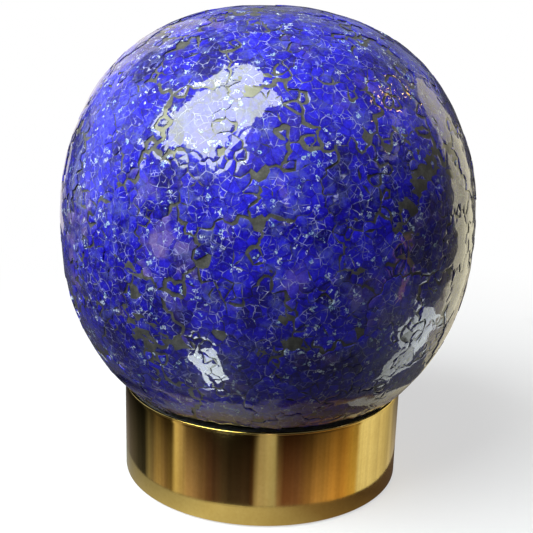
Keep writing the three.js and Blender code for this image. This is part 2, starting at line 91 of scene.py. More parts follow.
CELLS = 7400  # cells of crackle that would cover the whole globe
CELL_JITTER = 0.36  # of the spacing between cells
TILE_ROWS = 14.5  # degrees of latitude between rows of glass pieces
TILE_WIDTH = 27
TILE_JITTER = 0.26
EDGE_JITTER = 1.5  # raggedness of the glass pieces' outlines
LOOSE_CELLS = 0.10  # share of the cells beside grout that are chips by themselves
MISSING_CELLS = 0.045  # share of those where three glass pieces meet that are only grout
GLINTS = 0.07  # share of the corners between cells with a painted glint: a pale flake of base colour standing in for light caught by a crack
HALVES_MEET = 0.08  # rise, as a share of the globe's radius, where the two meshes meet
MAX_LEAN = 0.22  # how far a tilted glass piece may stand out or in
CRACK = 0.26  # half the width of a crack's soft line
CRACK_FORCE = (-0.16, 0.52)  # mean and spread of how strong a crack is; below 0 there is none
CRACK_AT_GROUT = 0.25  # share of that strength left where a crack ends at grout
VIOLET_REFLECTION = (-0.55, 0.6)  # the same for how strongly a glass piece carries a painted violet reflection
BEND_OUTSIDE, BEND_INSIDE = 0.13, 0.09  # how crooked edges are, as a share of their length
TILT = math.tan(math.radians(1.1))  # spread of the glass pieces' tilts
LIFT = 0.05  # spread of how far they stand out
RIM_DROP = 0.06  # how far a glass piece's edge is rounded over
GROUT_DEPTH = 0.27
SKIN = 0.25  # the mosaic's mean depth below the CAD surface

GAP = 0.3  # air between neighbouring pieces
SHEET = 1.2  # thickness of pressed sheet and of felt
GLASS_INSET = TILES_HIGH[2] - box("glass_globe")[1][2]
GLASS_WALL = 3.0
SEAT_RADII = (56, 62)  # of the stretch of glass that stands on the felt
SCREW_HOLE = 1.8
NIPPLE_HOLE = 5.3
POLE_RADIUS = 2.1
POLE_BORE = 1.35

SEGMENTS = 128  # round a large turned piece
SEGMENTS_SMALL = 48

NEARLY_STRAIGHT = math.radians(160)  # a corner blunter than this stays as it is
MESH_JOIN = 1e-6  # metres: corners closer than this are one
NEAR = 1e-6  # millimetres: closer than this counts as touching

rng = np.random.default_rng(20240)


# ---- Camera ---------------------------------------------------------------------------------

CAMERA_AT = (0.00019, -0.4249, 0.216)
CAMERA_PITCH = 0.2573  # radians below level
CAMERA_ROLL = 0.0318
CAMERA_LENS = 59.29


def make_camera():
    data = bpy.data.cameras.new("camera")
    data.sensor_width = 36
    data.lens = CAMERA_LENS
    data.clip_start = 0.01
    camera = new_object("camera", data)
    forward = Vector((0, math.cos(CAMERA_PITCH), -math.sin(CAMERA_PITCH)))
    level = Vector((1, 0, 0))
    upright = level.cross(forward)
    side = level * math.cos(CAMERA_ROLL) + upright * math.sin(CAMERA_ROLL)
    top = upright * math.cos(CAMERA_ROLL) - level * math.sin(CAMERA_ROLL)
    turn = Matrix((side, top, -forward)).transposed().to_4x4()
    camera.matrix_world = Matrix.Translation(CAMERA_AT) @ turn
    bpy.context.scene.camera = camera


# ---- Shader helpers -------------------------------------------------------------------------


class Graph:
    """A new material's node tree, or a world's, with short calls for the nodes used here."""

    def __init__(self, name, world=None):
        self.look = world or bpy.data.materials.new(name)
        self.look.use_nodes = True
        self.tree = self.look.node_tree
        self.shader = self.tree.nodes["Background" if world else "Principled BSDF"]
        self.where = self.node("ShaderNodeTexCoord").outputs["Object"]

    def node(self, kind, **settings):
        made = self.tree.nodes.new(kind)
        for key, value in settings.items():
            setattr(made, key, value)
        return made

    def put(self, socket, value):
        if isinstance(value, bpy.types.NodeSocket):
            self.tree.links.new(value, socket)
        else:
            socket.default_value = value

    def set(self, **values):
        for key, value in values.items():
            self.put(self.shader.inputs[key.replace("_", " ")], value)

    def math(self, operation, *values, clamp=False):
        made = self.node("ShaderNodeMath", operation=operation, use_clamp=clamp)
        for socket, value in zip(made.inputs, values):
            self.put(socket, value)
        return made.outputs[0]

    def times(self, value, factor, plus=None, clamp=False):
        """The value times a factor, with another value added where there is one."""
        if plus is None:
            return self.math("MULTIPLY", value, factor, clamp=clamp)
        return self.math("MULTIPLY_ADD", value, factor, plus, clamp=clamp)

    def spread(self, value, gain, middle=0.5):
        """The value with its distance from a half multiplied."""
        return self.times(value, gain, middle - 0.5 * gain)

    def scaled(self, x, y, z):
        made = self.node("ShaderNodeVectorMath", operation="MULTIPLY")
        self.put(made.inputs[0], self.where)
        made.inputs[1].default_value = (x, y, z)
        return made.outputs[0]

    def noise(self, size, detail=3, rough=0.55, where=None):
        """Soft noise with bumps about this many millimetres across."""
        made = self.node("ShaderNodeTexNoise")
        self.put(made.inputs["Vector"], where or self.where)
        made.inputs["Scale"].default_value = 1 / (size * MM)
        made.inputs["Detail"].default_value = detail
        made.inputs["Roughness"].default_value = rough
        return made.outputs["Fac"]

    def dots(self, size, feature="F1"):
        made = self.node("ShaderNodeTexVoronoi", feature=feature)
        self.put(made.inputs["Vector"], self.where)
        made.inputs["Scale"].default_value = 1 / (size * MM)
        return made

    def colour(self):
        """What gives the shader its colour so far."""
        return self.shader.inputs["Base Color"].links[0].from_socket

    def ramp(self, value, *stops):
        """Stops are (place, colour) or (place, grey)."""
        made = self.node("ShaderNodeValToRGB")
        self.put(made.inputs[0], value)
        marks = made.color_ramp.elements
        while len(marks) < len(stops):
            marks.new(0.5)
        for mark, (place, colour) in zip(marks, stops):
            mark.position = place
            shade = colour if isinstance(colour, tuple) else (colour,) * 3
            mark.color = (*shade, 1)
        return made.outputs["Color"]

    def mix(self, amount, first, second, blend="MIX"):
        made = self.node("ShaderNodeMix", data_type="RGBA", blend_type=blend)
        self.put(made.inputs["Factor"], amount)
        for name, value in (("A", first), ("B", second)):
            socket = next(s for s in made.inputs if s.name == name and s.type == "RGBA")
            self.put(socket, (*value, 1) if isinstance(value, tuple) else value)
        return next(s for s in made.outputs if s.type == "RGBA")

    def bump(self, height, depth, strength=1.0, normal=None):
        """Depth is in millimetres."""
        made = self.node("ShaderNodeBump")
        self.put(made.inputs["Height"], height)
        made.inputs["Distance"].default_value = depth * MM
        made.inputs["Strength"].default_value = strength
        if normal is not None:
            self.put(made.inputs["Normal"], normal)
        return made.outputs["Normal"]

    def fade(self, value, near, far):
        """A value that turns smoothly from one (from, to) pair to another."""
        made = self.node("ShaderNodeMapRange", interpolation_type="SMOOTHSTEP")
        for name, number in zip(("From Min", "To Min", "From Max", "To Max"), (*near, *far)):
            made.inputs[name].default_value = number
        self.put(made.inputs["Value"], value)
        return made.outputs["Result"]

    def cover(self, amount, other):
        """Mixes another shader over this one."""
        mixed = self.node("ShaderNodeMixShader")
        for socket, value in zip(mixed.inputs, (amount, self.shader.outputs[0], other.outputs[0])):
            self.put(socket, value)
        output = next(node for node in self.tree.nodes if node.type.startswith("OUTPUT"))
        self.put(output.inputs["Surface"], mixed.outputs[0])

    def channels(self, attribute):
        """The red, green and blue of a colour attribute, and its alpha."""
        source = self.node("ShaderNodeVertexColor", layer_name=attribute)
        split = self.node("ShaderNodeSeparateColor")
        self.put(split.inputs[0], source.outputs["Color"])
        return [*split.outputs[:3], source.outputs["Alpha"]]


class Glow(Graph):
    """A look that gives light, and nothing else."""

    def __init__(self, name):
        super().__init__(name)
        self.tree.nodes.remove(self.shader)
        self.shader = self.node("ShaderNodeEmission")
        self.put(self.tree.nodes["Material Output"].inputs["Surface"], self.shader.outputs[0])


def finish(name, dark, light, metallic, sheen, grain, bump):
    """A look with colour, gloss and grain that vary. Sheen is the lowest and highest roughness."""
    g = Graph(name)
    broad = g.noise(grain * 9, detail=4)
    fine = g.noise(grain, detail=5, rough=0.65)
    blend = g.spread(g.times(fine, 0.5, g.times(broad, 0.5)), 1.8)
    g.set(Base_Color=g.ramp(blend, (0.2, dark), (0.8, light)))
    low, high = sheen
    g.set(Roughness=g.times(blend, high - low, low))
    g.set(Normal=g.bump(fine, bump))
    g.set(Metallic=metallic)
    return g


# ---- Looks ----------------------------------------------------------------------------------


def crackle_glass():
    """Cobalt glass full of fine cracks, under a smooth clear surface. Its colour also holds painted
    light: pale flakes as painted glints, violet patches as painted reflections, and painted shade that
    darkens each cell towards its rim.
    """
    g = Graph("crackle_glass")
    cell, hue, crack, middle = g.channels("cell")
    tone, violet_reflection, glint, _ = g.channels("tile")
    inside = g.spread(g.noise(1.3, detail=4, rough=0.75), 1.9)
    light = g.times(cell, 0.27, g.times(inside, 0.50))
    light = g.times(tone, 0.26, light)
    # Painted shade: each cell is lighter at its middle and darker towards its rim, as if pillowed.
    light = g.times(middle, 0.22, light)
    light = g.math("ADD", g.spread(g.noise(19, detail=2), 0.9, 0), light)
    blue = g.ramp(
        light,
        (0.12, (0.003, 0.001, 0.035)), (0.42, (0.003, 0.001, 0.120)),
        (0.68, (0.006, 0.002, 0.340)), (1.00, (0.016, 0.012, 0.630)),
    )
    blue = g.mix(g.math("SUBTRACT", 1.0, g.ramp(middle, (0.0, 0.45), (0.32, 1.0))), blue,
                 (0.004, 0.002, 0.045))
    # Painted reflection: violet and pink patches, some over whole glass pieces, stand for things in the
    # room mirrored by tilted pieces.
    blush_reflection = g.ramp(g.noise(21, detail=2), (0.60, 0.0), (0.72, 0.45))
    violet_reflection = g.times(violet_reflection, g.ramp(g.noise(11, detail=2), (0.46, 0.08), (0.60, 1.0)))
    painted_reflection = g.times(g.math("MAXIMUM", violet_reflection, blush_reflection), g.math("ADD", 0.2, hue))
    reflection_tinted = g.mix(painted_reflection, blue, g.mix(inside, (0.085, 0.040, 0.26), (0.25, 0.19, 0.38)))
    haze = g.ramp(g.noise(9, detail=5, rough=0.75), (0.50, 0.0), (0.70, 0.54))
    misty = g.mix(haze, reflection_tinted, (0.110, 0.135, 0.36))

    broken = g.ramp(g.noise(5), (0.38, 0.10), (0.56, 1.0))
    lines = g.times(g.math("POWER", crack, 0.6), broken)
    hair = g.ramp(g.dots(3.1, "DISTANCE_TO_EDGE").outputs["Distance"], (0.012, 0.72), (0.055, 0.0))
    hair = g.times(hair, g.ramp(g.noise(4.0), (0.51, 0.0), (0.63, 0.9)))
    lines = g.math("MAXIMUM", lines, hair)
    pale = g.mix(hue, (0.17, 0.19, 0.62), (0.56, 0.58, 0.78))
    cracked = g.mix(g.times(lines, 0.95, clamp=True), misty, pale)

    # Painted glints: pale flakes of base colour, clustered here and there and at some corners between
    # cells, stand for light caught by the cracks.
    shard = g.node("ShaderNodeSeparateColor")
    g.put(shard.inputs[0], g.dots(1.9).outputs["Color"])
    crowd = g.times(g.noise(13, detail=2), -0.62, 1.26)
    painted_glint = g.math("GREATER_THAN", shard.outputs[0], crowd)
    painted_glint = g.times(painted_glint, g.ramp(g.noise(0.8), (0.45, 0.0), (0.58, 0.8)))
    painted_glint = g.math("MAXIMUM", painted_glint, g.math("GREATER_THAN", glint, 0.6))
    g.set(Base_Color=g.mix(painted_glint, cracked, g.mix(hue, (0.30, 0.50, 0.58), (0.66, 0.72, 0.78))))
    g.set(Roughness=0.4, IOR=1.5, Specular_IOR_Level=0.1)
    g.set(Normal=g.bump(g.math("ADD", g.times(cell, 0.6), inside), 0.35, 0.5))
    g.set(Coat_Weight=1.0, Coat_Roughness=0.03, Coat_IOR=1.55)
    g.set(Coat_Normal=g.bump(g.noise(3.4, detail=2), 0.045))
    return g.look


def grout():
    """Dark grey grout, rubbed smooth and level with the glass, so that it shines a little."""
    g = finish("grout", (0.014, 0.014, 0.014), (0.100, 0.101, 0.096), 0, (0.5, 0.8), 0.9, 0.12)
    streak = g.ramp(g.noise(4, detail=4, rough=0.7), (0.42, 0.0), (0.60, 1.0))
    plain = g.colour()
    g.set(Base_Color=g.mix(streak, g.mix(0.6, plain, (0.012, 0.012, 0.013)), plain))
    g.set(Coat_Weight=0.75, Coat_Roughness=0.10, Coat_IOR=1.5)
    g.set(Coat_Normal=g.bump(g.noise(2.2, detail=3), 0.05))
    return g.look


def clear_glass():
    g = Graph("clear_glass")
    g.set(Base_Color=g.ramp(g.noise(30), (0.3, (0.90, 0.96, 0.95)), (0.7, (0.97, 0.99, 1.0))))
    g.set(Roughness=g.times(g.noise(12), 0.06), IOR=1.5, Transmission_Weight=1.0)
    g.set(Normal=g.bump(g.noise(9, detail=1), 0.05))
    return g.look


def polished_brass():
    """Spun brass, polished to a mirror, with faint hairlines round it and a few smudges."""
    g = Graph("polished_brass")
    smudge = g.noise(26, detail=5, rough=0.6)
    spots = g.noise(1.6, detail=2)
    tarnish = g.times(spots, 0.25, g.times(smudge, 0.75))
    g.set(Base_Color=g.ramp(tarnish, (0.32, (0.70, 0.505, 0.152)), (0.68, (0.84, 0.642, 0.228))))
    g.set(Metallic=1.0)
    hair = g.noise(1.0, detail=2, rough=0.7, where=g.scaled(0.03, 0.03, 5.5))
    g.set(Roughness=g.times(hair, 0.06, g.times(smudge, 0.14)))
    dents = g.bump(g.noise(34, detail=1), 0.16)
    g.set(Normal=g.bump(hair, 0.006, normal=dents))
    return g.look


def black_felt():
    g = finish("black_felt", (0.004, 0.004, 0.005), (0.022, 0.021, 0.023), 0, (0.85, 1.0), 0.5, 0.35)
    g.set(Sheen_Weight=0.5, Sheen_Roughness=0.6)
    return g.look


def opal_plastic():
    g = finish("opal_plastic", (0.80, 0.80, 0.76), (0.90, 0.90, 0.87), 0, (0.28, 0.4), 2.0, 0.01)
    g.set(Subsurface_Weight=0.6, Subsurface_Scale=0.004)
    return g.look


def banded_insulation():
    """Green insulation with yellow stripes that wind along it."""
    g = finish("green_yellow_insulation", (0.05, 0.25, 0.04), (0.07, 0.33, 0.05), 0, (0.4, 0.5), 1, 0.01)
    stripes = g.node("ShaderNodeTexWave", bands_direction="DIAGONAL")
    g.put(stripes.inputs["Vector"], g.where)
    stripes.inputs["Scale"].default_value = 90
    band = g.math("GREATER_THAN", stripes.outputs["Fac"], 0.62)
    g.set(Base_Color=g.mix(band, g.colour(), (0.75, 0.62, 0.05)))
    return g.look


# Name: dark colour, light colour, metallic, roughness range, grain in mm, bump in mm.
PLAIN_FINISHES = {
    "plain_brass": ((0.50, 0.33, 0.10), (0.72, 0.50, 0.17), 1, (0.25, 0.42), 0.8, 0.01),
    "zinc_plated_steel": ((0.36, 0.37, 0.37), (0.60, 0.61, 0.60), 1, (0.28, 0.48), 1.5, 0.01),
    "black_rubber": ((0.010, 0.010, 0.011), (0.028, 0.028, 0.030), 0, (0.55, 0.75), 0.6, 0.03),
    "black_plastic": ((0.008, 0.008, 0.009), (0.020, 0.020, 0.022), 0, (0.30, 0.45), 0.7, 0.015),
    "steatite": ((0.58, 0.56, 0.50), (0.76, 0.74, 0.68), 0, (0.45, 0.6), 0.6, 0.02),
    "white_plastic": ((0.74, 0.74, 0.72), (0.84, 0.84, 0.83), 0, (0.28, 0.4), 0.8, 0.01),
    "nickel": ((0.48, 0.46, 0.42), (0.66, 0.64, 0.59), 1, (0.18, 0.34), 1.2, 0.008),
    "circuit_board": ((0.62, 0.63, 0.62), (0.78, 0.79, 0.78), 0, (0.35, 0.5), 0.9, 0.01),
    "brown_insulation": ((0.10, 0.035, 0.012), (0.15, 0.055, 0.02), 0, (0.4, 0.5), 1, 0.01),
    "blue_insulation": ((0.02, 0.09, 0.40), (0.03, 0.13, 0.52), 0, (0.4, 0.5), 1, 0.01),
}

looks = {name: finish(name, *values).look for name, values in PLAIN_FINISHES.items()}
looks["crackle_glass"] = crackle_glass()
looks["grout"] = grout()
looks["clear_glass"] = clear_glass()
looks["polished_brass"] = polished_brass()
looks["black_felt"] = black_felt()
looks["opal_plastic"] = opal_plastic()
looks["green_yellow_insulation"] = banded_insulation()


# ---- Mesh helpers ---------------------------------------------------------------------------


def new_object(name, data):
    thing = bpy.data.objects.new(name, data)
    bpy.context.scene.collection.objects.link(thing)
    return thing


def new_mesh(name, verts, faces):
    """An object made from corners in metres."""
    mesh = bpy.data.meshes.new(name)
    mesh.from_pydata(np.array(verts, float).tolist(), [], faces)
    return new_object(name, mesh)


def paint(thing, layer, domain, colours):
    """Stores a colour for each vertex, or for each corner of each face."""
    data = thing.data.color_attributes.new(layer, "FLOAT_COLOR", domain)
    data.data.foreach_set("color", np.array(colours, np.float32).ravel())


def adopt(thing, slot, node):
    """A piece takes a look, stands for a CAD node and rides on its body."""
    thing.data.materials.clear()
    thing.data.materials.append(looks[slot])
    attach(thing, frame["nodes"][node]["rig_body"])
    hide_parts(node)


def piece(name, verts, faces, slot, node):
    """A mesh in millimetres becomes a smooth piece."""
    thing = new_mesh(name, np.array(verts) * MM, faces)
    thing.data.polygons.foreach_set("use_smooth", [True] * len(faces))
    adopt(thing, slot, node)
    return thing


def waves(points, size, seed):
    """Smooth noise of about unit height, with bumps about this many millimetres across."""
    count = 16
    draw = np.random.default_rng(seed)
    total = np.zeros(len(points))
    for _ in range(count):
        way = draw.normal(size=3)
        way *= 2 * math.pi / (size * draw.uniform(0.7, 1.6)) / np.linalg.norm(way)
        total += np.sin(points @ way + draw.uniform(0, 2 * math.pi))
    return total / math.sqrt(count / 2)


def rounded(outline, radius, steps=3):
    """A closed outline of (r, z) with each corner rounded, and a short straight beside each arc."""
    corners = [np.array(p, float) for p in outline]
    made = []
    for i, corner in enumerate(corners):
        before = corners[i - 1] - corner
        after = corners[(i + 1) % len(corners)] - corner
        back, on = np.linalg.norm(before), np.linalg.norm(after)
        bend = math.acos(max(-1.0, min(1.0, float(before @ after) / (back * on))))
        if bend > NEARLY_STRAIGHT or corner[0] < NEAR:
            made.append(tuple(corner))
            continue
        reach = min(radius, 0.4 * back, 0.4 * on)
        before, after = before / back, after / on
        made.append(tuple(corner + before * reach * 1.2))
        for k in range(steps + 1):
            share = k / steps
            start = corner + before * reach
            end = corner + after * reach
            curve = start * (1 - share) ** 2 + corner * 2 * share * (1 - share) + end * share**2
            made.append(tuple(curve))
        made.append(tuple(corner + after * reach * 1.2))
    return made


def tube(inner, outer, low, high):
    """The outline of a plain tube, or of a disc when its inner radius is 0."""
    return [(inner, low), (outer, low), (outer, high), (inner, high)]


def lathe(outline, segments=SEGMENTS):
    """The vertices and faces of a closed outline of (r, z) turned about +Z."""
    verts, rings = [], []
    for r, z in outline:
        if r < NEAR:
            rings.append([len(verts)])
            verts.append((0.0, 0.0, z))
            continue
        rings.append(list(range(len(verts), len(verts) + segments)))
        for k in range(segments):
            angle = 2 * math.pi * k / segments
            verts.append((r * math.cos(angle), r * math.sin(angle), z))
    faces = []
    for i, low in enumerate(rings):
        high = rings[(i + 1) % len(rings)]
        if len(low) == 1 and len(high) == 1:
            continue
        for k in range(segments):
            n = (k + 1) % segments
            if len(low) == 1:
                faces.append((low[0], high[n], high[k]))
            elif len(high) == 1:
                faces.append((low[k], low[n], high[0]))
            else:
                faces.append((low[k], low[n], high[n], high[k]))
    return np.array(verts), faces


def facing_out(thing):
    """Turns a closed mesh's faces outwards."""
    work = bmesh.new()
    work.from_mesh(thing.data)
    bmesh.ops.recalc_face_normals(work, faces=work.faces)
    work.to_mesh(thing.data)
    work.free()
    return thing


def along_y(verts):
    """Lays down what was turned about +Z, so that it runs along +Y."""
    return verts[:, [0, 2, 1]] * np.array([1, 1, -1])


def turned(node, outline, slot, radius, segments=SEGMENTS, at=(0, 0, 0), about_y=False):
    """A turned piece for a CAD node, with its corners rounded to a radius."""
    verts, faces = lathe(rounded(outline, radius), segments)
    if about_y:
        verts = along_y(verts)
    return facing_out(piece(node + "_fine", verts + np.array(at), faces, slot, node))


class Thread:
    """A rounded right-hand screw thread between two heights."""

    def __init__(self, core, crest, pitch, low, high):
        self.core, self.crest, self.pitch, self.low, self.high = core, crest, pitch, low, high

    def rows(self):
        """Plain outline points that threaded() raises into the thread."""
        count = round((self.high - self.low) / self.pitch * 8)
        return [(self.core, float(z)) for z in np.linspace(self.low, self.high, count + 1)]

    def raised(self, verts):
        radius = np.hypot(verts[:, 0], verts[:, 1])
        height = verts[:, 2]
        on_it = (abs(radius - self.core) < NEAR) & (height >= self.low) & (height <= self.high)
        phase = 2 * math.pi * height / self.pitch - np.arctan2(verts[:, 1], verts[:, 0])
        end = np.minimum(height - self.low, self.high - height) / (0.5 * self.pitch)
        rise = (self.crest - self.core) * (0.5 - 0.5 * np.cos(phase)) * np.clip(end, 0, 1)
        growth = 1 + np.where(on_it, rise / self.core, 0)
        return verts * np.stack([growth, growth, 1 + 0 * growth], axis=1)


def threaded(node, outline, thread, slot, segments=SEGMENTS_SMALL, place=None):
    """A turned piece with a thread. Place moves its corners after that."""
    verts, faces = lathe(outline, segments)
    verts = thread.raised(verts)
    if place:
        verts = place(verts)
    thing = facing_out(piece(node + "_fine", verts, faces, slot, node))
    sharpen(thing, 50)
    return thing


def axis_of(node):
    """The middle of a node's box in plan, at height 0."""
    low, high = box(node)
    return np.array([(low[0] + high[0]) / 2, (low[1] + high[1]) / 2, 0])


def pan_screw(node, slot, head_up=False):
    """A pan-head screw with a rolled thread and a cross recess, where its CAD node is."""
    low, high = box(node)
    length = high[2] - low[2]
    head, thick = 3, 1.7
    thread = Thread(1.25, 1.5, 0.5, thick + 0.1, length - 0.6)
    outline = [
        (0, 0), (head * 0.5, 0), (head * 0.80, 0.14), (head * 0.95, 0.5), (head, 0.95),
        (head, thick - 0.12), (head - 0.12, thick), (thread.core, thick), *thread.rows(),
        (thread.core * 0.6, length), (0, length),
    ]
    turn = np.array([1, -1, -1]) if head_up else np.array([1, 1, 1])
    foot = np.array([0, 0, high[2] if head_up else low[2]]) + axis_of(node)
    screw = threaded(node, outline, thread, slot, segments=24,
                     place=lambda verts: verts * turn + foot)
    span, slot_wide, deep = 3.6, 0.7, 1.5  # of the cross recess; half of its depth is in the head
    recess = [bar_cutter(size, foot) for size in ((span, slot_wide, deep), (slot_wide, span, deep))]
    cut_away(screw, *recess)


def applied(thing):
    """Turns a piece's modifiers into plain mesh."""
    graph = bpy.context.evaluated_depsgraph_get()
    result = bpy.data.meshes.new_from_object(thing.evaluated_get(graph))
    thing.modifiers.clear()
    thing.data = result


def cut_away(thing, *cutters, operation="DIFFERENCE"):
    """Cuts other objects out of a piece, or joins them to it, and removes them."""
    for other in cutters:
        change = thing.modifiers.new("cut", "BOOLEAN")
        change.object = other
        change.operation = operation
        change.solver = "EXACT"
    applied(thing)
    for other in cutters:
        bpy.data.objects.remove(other)
    sharpen(thing)
    return thing


def sharpen(thing, degrees=35):
    thing.data.polygons.foreach_set("use_smooth", [True] * len(thing.data.polygons))
    thing.data.set_sharp_from_angle(angle=math.radians(degrees))


def cutting_tool(verts, faces):
    """A plain shape for cut_away(). It never shows by itself."""
    return facing_out(new_mesh("cutter", verts * MM, faces))


def cutter(radius, low, high, at=(0, 0, 0), about_y=False, segments=SEGMENTS_SMALL):
    """A round bar."""
    verts, faces = lathe(tube(0, radius, low, high), segments)
    if about_y:
        verts = along_y(verts)
    return cutting_tool(verts + np.array(at), faces)


def bar_cutter(size, at):
    """A square bar with its middle at a point."""
    signs = [(x, y, z) for x in (-1, 1) for y in (-1, 1) for z in (-1, 1)]
    verts = np.array(signs) * np.array(size) / 2 + np.array(at)
    faces = [(0, 1, 3, 2), (4, 6, 7, 5), (0, 4, 5, 1), (2, 3, 7, 6), (0, 2, 6, 4), (1, 5, 7, 3)]
    return cutting_tool(verts, faces)


def refined(node, slot, bevel):
    """A CAD node's own shape with joined corners, softened edges and smooth rounds."""
    mesh = frame["nodes"][node].data.copy()
    work = bmesh.new()
    work.from_mesh(mesh)
    bmesh.ops.remove_doubles(work, verts=work.verts, dist=MESH_JOIN)
    flat = math.radians(1)
    bmesh.ops.dissolve_limit(work, angle_limit=flat, verts=work.verts, edges=work.edges)
    sharp = [e for e in work.edges if e.is_manifold and e.calc_face_angle() > math.radians(40)]
    bmesh.ops.bevel(work, geom=sharp, offset=bevel * MM, segments=2, profile=0.6,
                    affect="EDGES", clamp_overlap=True)
    work.to_mesh(mesh)
    work.free()
    mesh.polygons.foreach_set("material_index", [0] * len(mesh.polygons))
    thing = new_object(node + "_fine", mesh)
    adopt(thing, slot, node)
    sharpen(thing)


# ---- Globe surface --------------------------------------------------------------------------


def on_globe(ways, inset):
    """Points on the globe's surface in these directions from its middle, sunk by an inset."""
    across = np.hypot(ways[:, 0], ways[:, 1])
    upper = ways[:, 2] >= 0
    rise = np.where(upper, GLOBE_UP, GLOBE_DOWN) - inset
    power = np.where(upper, ROUND_UP, ROUND_DOWN)
    span = (across / (GLOBE_RADIUS - inset)) ** power + (np.abs(ways[:, 2]) / rise) ** power
    return ways * (span ** (-1 / power))[:, None] + UP * GLOBE_MIDDLE


def unit(vectors):
    return vectors / np.linalg.norm(vectors, axis=-1, keepdims=True)


def globe_outline(inset, low_radius, steps):
    """(r, z) down the globe's outline from the crown to where it narrows to a radius."""
    angles = np.linspace(math.pi / 2, -math.pi / 2, 4 * steps)
    ways = np.stack([np.cos(angles), 0 * angles, np.sin(angles)], axis=1)
    points = on_globe(ways, inset)
    keep = (points[:, 2] > GLOBE_MIDDLE) | (points[:, 0] > low_radius)
    outline = [(float(p[0]), float(p[2])) for p in points[keep]]
    outline[0] = (0.0, outline[0][1])
    return outline


# ---- Mosaic ---------------------------------------------------------------------------------


def crackle():
    """Cells of crackle over the whole globe: their middles, all the corners between them, which
    cells meet at each corner, and each cell's corners in order."""
    count = np.arange(CELLS) + 0.5
    height = 1 - 2 * count / CELLS
    angle = math.pi * (1 + math.sqrt(5)) * count
    flat = np.sqrt(1 - height**2)
    middles = np.stack([flat * np.cos(angle), flat * np.sin(angle), height], axis=1)
    spacing = math.sqrt(4 * math.pi / CELLS)
    middles = unit(middles + rng.normal(0, CELL_JITTER * spacing, middles.shape))
    hull = bmesh.new()
    for middle in middles:
        hull.verts.new(middle)
    bmesh.ops.convex_hull(hull, input=hull.verts)
    hull.verts.index_update()
    meets = np.array([[v.index for v in face.verts] for face in hull.faces])
    hull.free()
    a, b, c = (middles[meets[:, k]] for k in range(3))
    corners = unit(np.cross(b - a, c - a))
    corners *= np.sign((corners * a).sum(axis=1))[:, None]

    cell = meets.ravel()
    corner = np.repeat(np.arange(len(meets)), 3)
    east = unit(np.cross(UP + [0.01, 0, 0], middles[cell]))
    north = np.cross(middles[cell], east)
    turn = np.arctan2((corners[corner] * north).sum(1), (corners[corner] * east).sum(1))
    order = np.lexsort((turn, cell))
    cell, corner = cell[order], corner[order]
    starts = np.searchsorted(cell, np.arange(CELLS + 1))
    rings = [corner[starts[i] : starts[i + 1]].tolist() for i in range(CELLS)]
    return middles, corners, meets, rings


def share_out(middles):
    """Which glass piece each cell belongs to, and where the pieces' middles are."""
    seeds = []
    for latitude in np.arange(-52.0, 91.0, TILE_ROWS):
        level = math.radians(latitude)
        around = max(1, round(2 * math.pi * math.cos(level) * GLOBE_RADIUS / TILE_WIDTH))
        start = rng.uniform(0, 1)
        for k in range(around):
            turn = 2 * math.pi * (k + start + rng.uniform(-TILE_JITTER, TILE_JITTER)) / around
            rise = level + math.radians(TILE_ROWS) * rng.uniform(-TILE_JITTER, TILE_JITTER)
            flat = math.cos(rise)
            seeds.append((flat * math.cos(turn), flat * math.sin(turn), math.sin(rise)))
    seeds = np.array(seeds)
    moved = middles + rng.normal(0, EDGE_JITTER / GLOBE_RADIUS, middles.shape)
    tile = np.zeros(len(moved), int)
    for start in range(0, len(moved), 1000):
        gap = moved[start : start + 1000, None] - seeds[None]
        tile[start : start + 1000] = (gap**2).sum(axis=2).argmin(axis=1)
    return tile, seeds


class Mosaic:
    """Gathers the glass pieces' corners, faces and colours, for one mesh."""

    def __init__(self):
        self.ways, self.depths, self.tiles = [], [], []
        self.faces, self.cell_colours, self.tile_colours = [], [], []
        self.known = {}

    def corner(self, key, way, depth, tile):
        """The index of a shared corner, made when it is first asked for."""
        if key not in self.known:
            self.known[key] = len(self.ways)
            self.ways.append(way)
            self.depths.append(depth)
            self.tiles.append(tile)
        return self.known[key]

    def face(self, indices, cell_colours, tile_colours):
        self.faces.append(indices)
        self.cell_colours.extend(cell_colours)
        self.tile_colours.extend(tile_colours)


def grout_half_width(ways):
    """Half the width of the grout line at each corner of the crackle."""
    places = ways * GLOBE_RADIUS
    slow = waves(places, 34, 5)
    quick = waves(places, 7, 6)
    return np.clip(0.43 + 0.30 * slow + 0.26 * quick, 0.08, 1.25)


def ripple(ways):
    """The slow waves of the finished surface, which the glass and the grout share."""
    places = ways * GLOBE_RADIUS
    return 0.10 * waves(places, 24, 11) + 0.045 * waves(places, 8, 12)


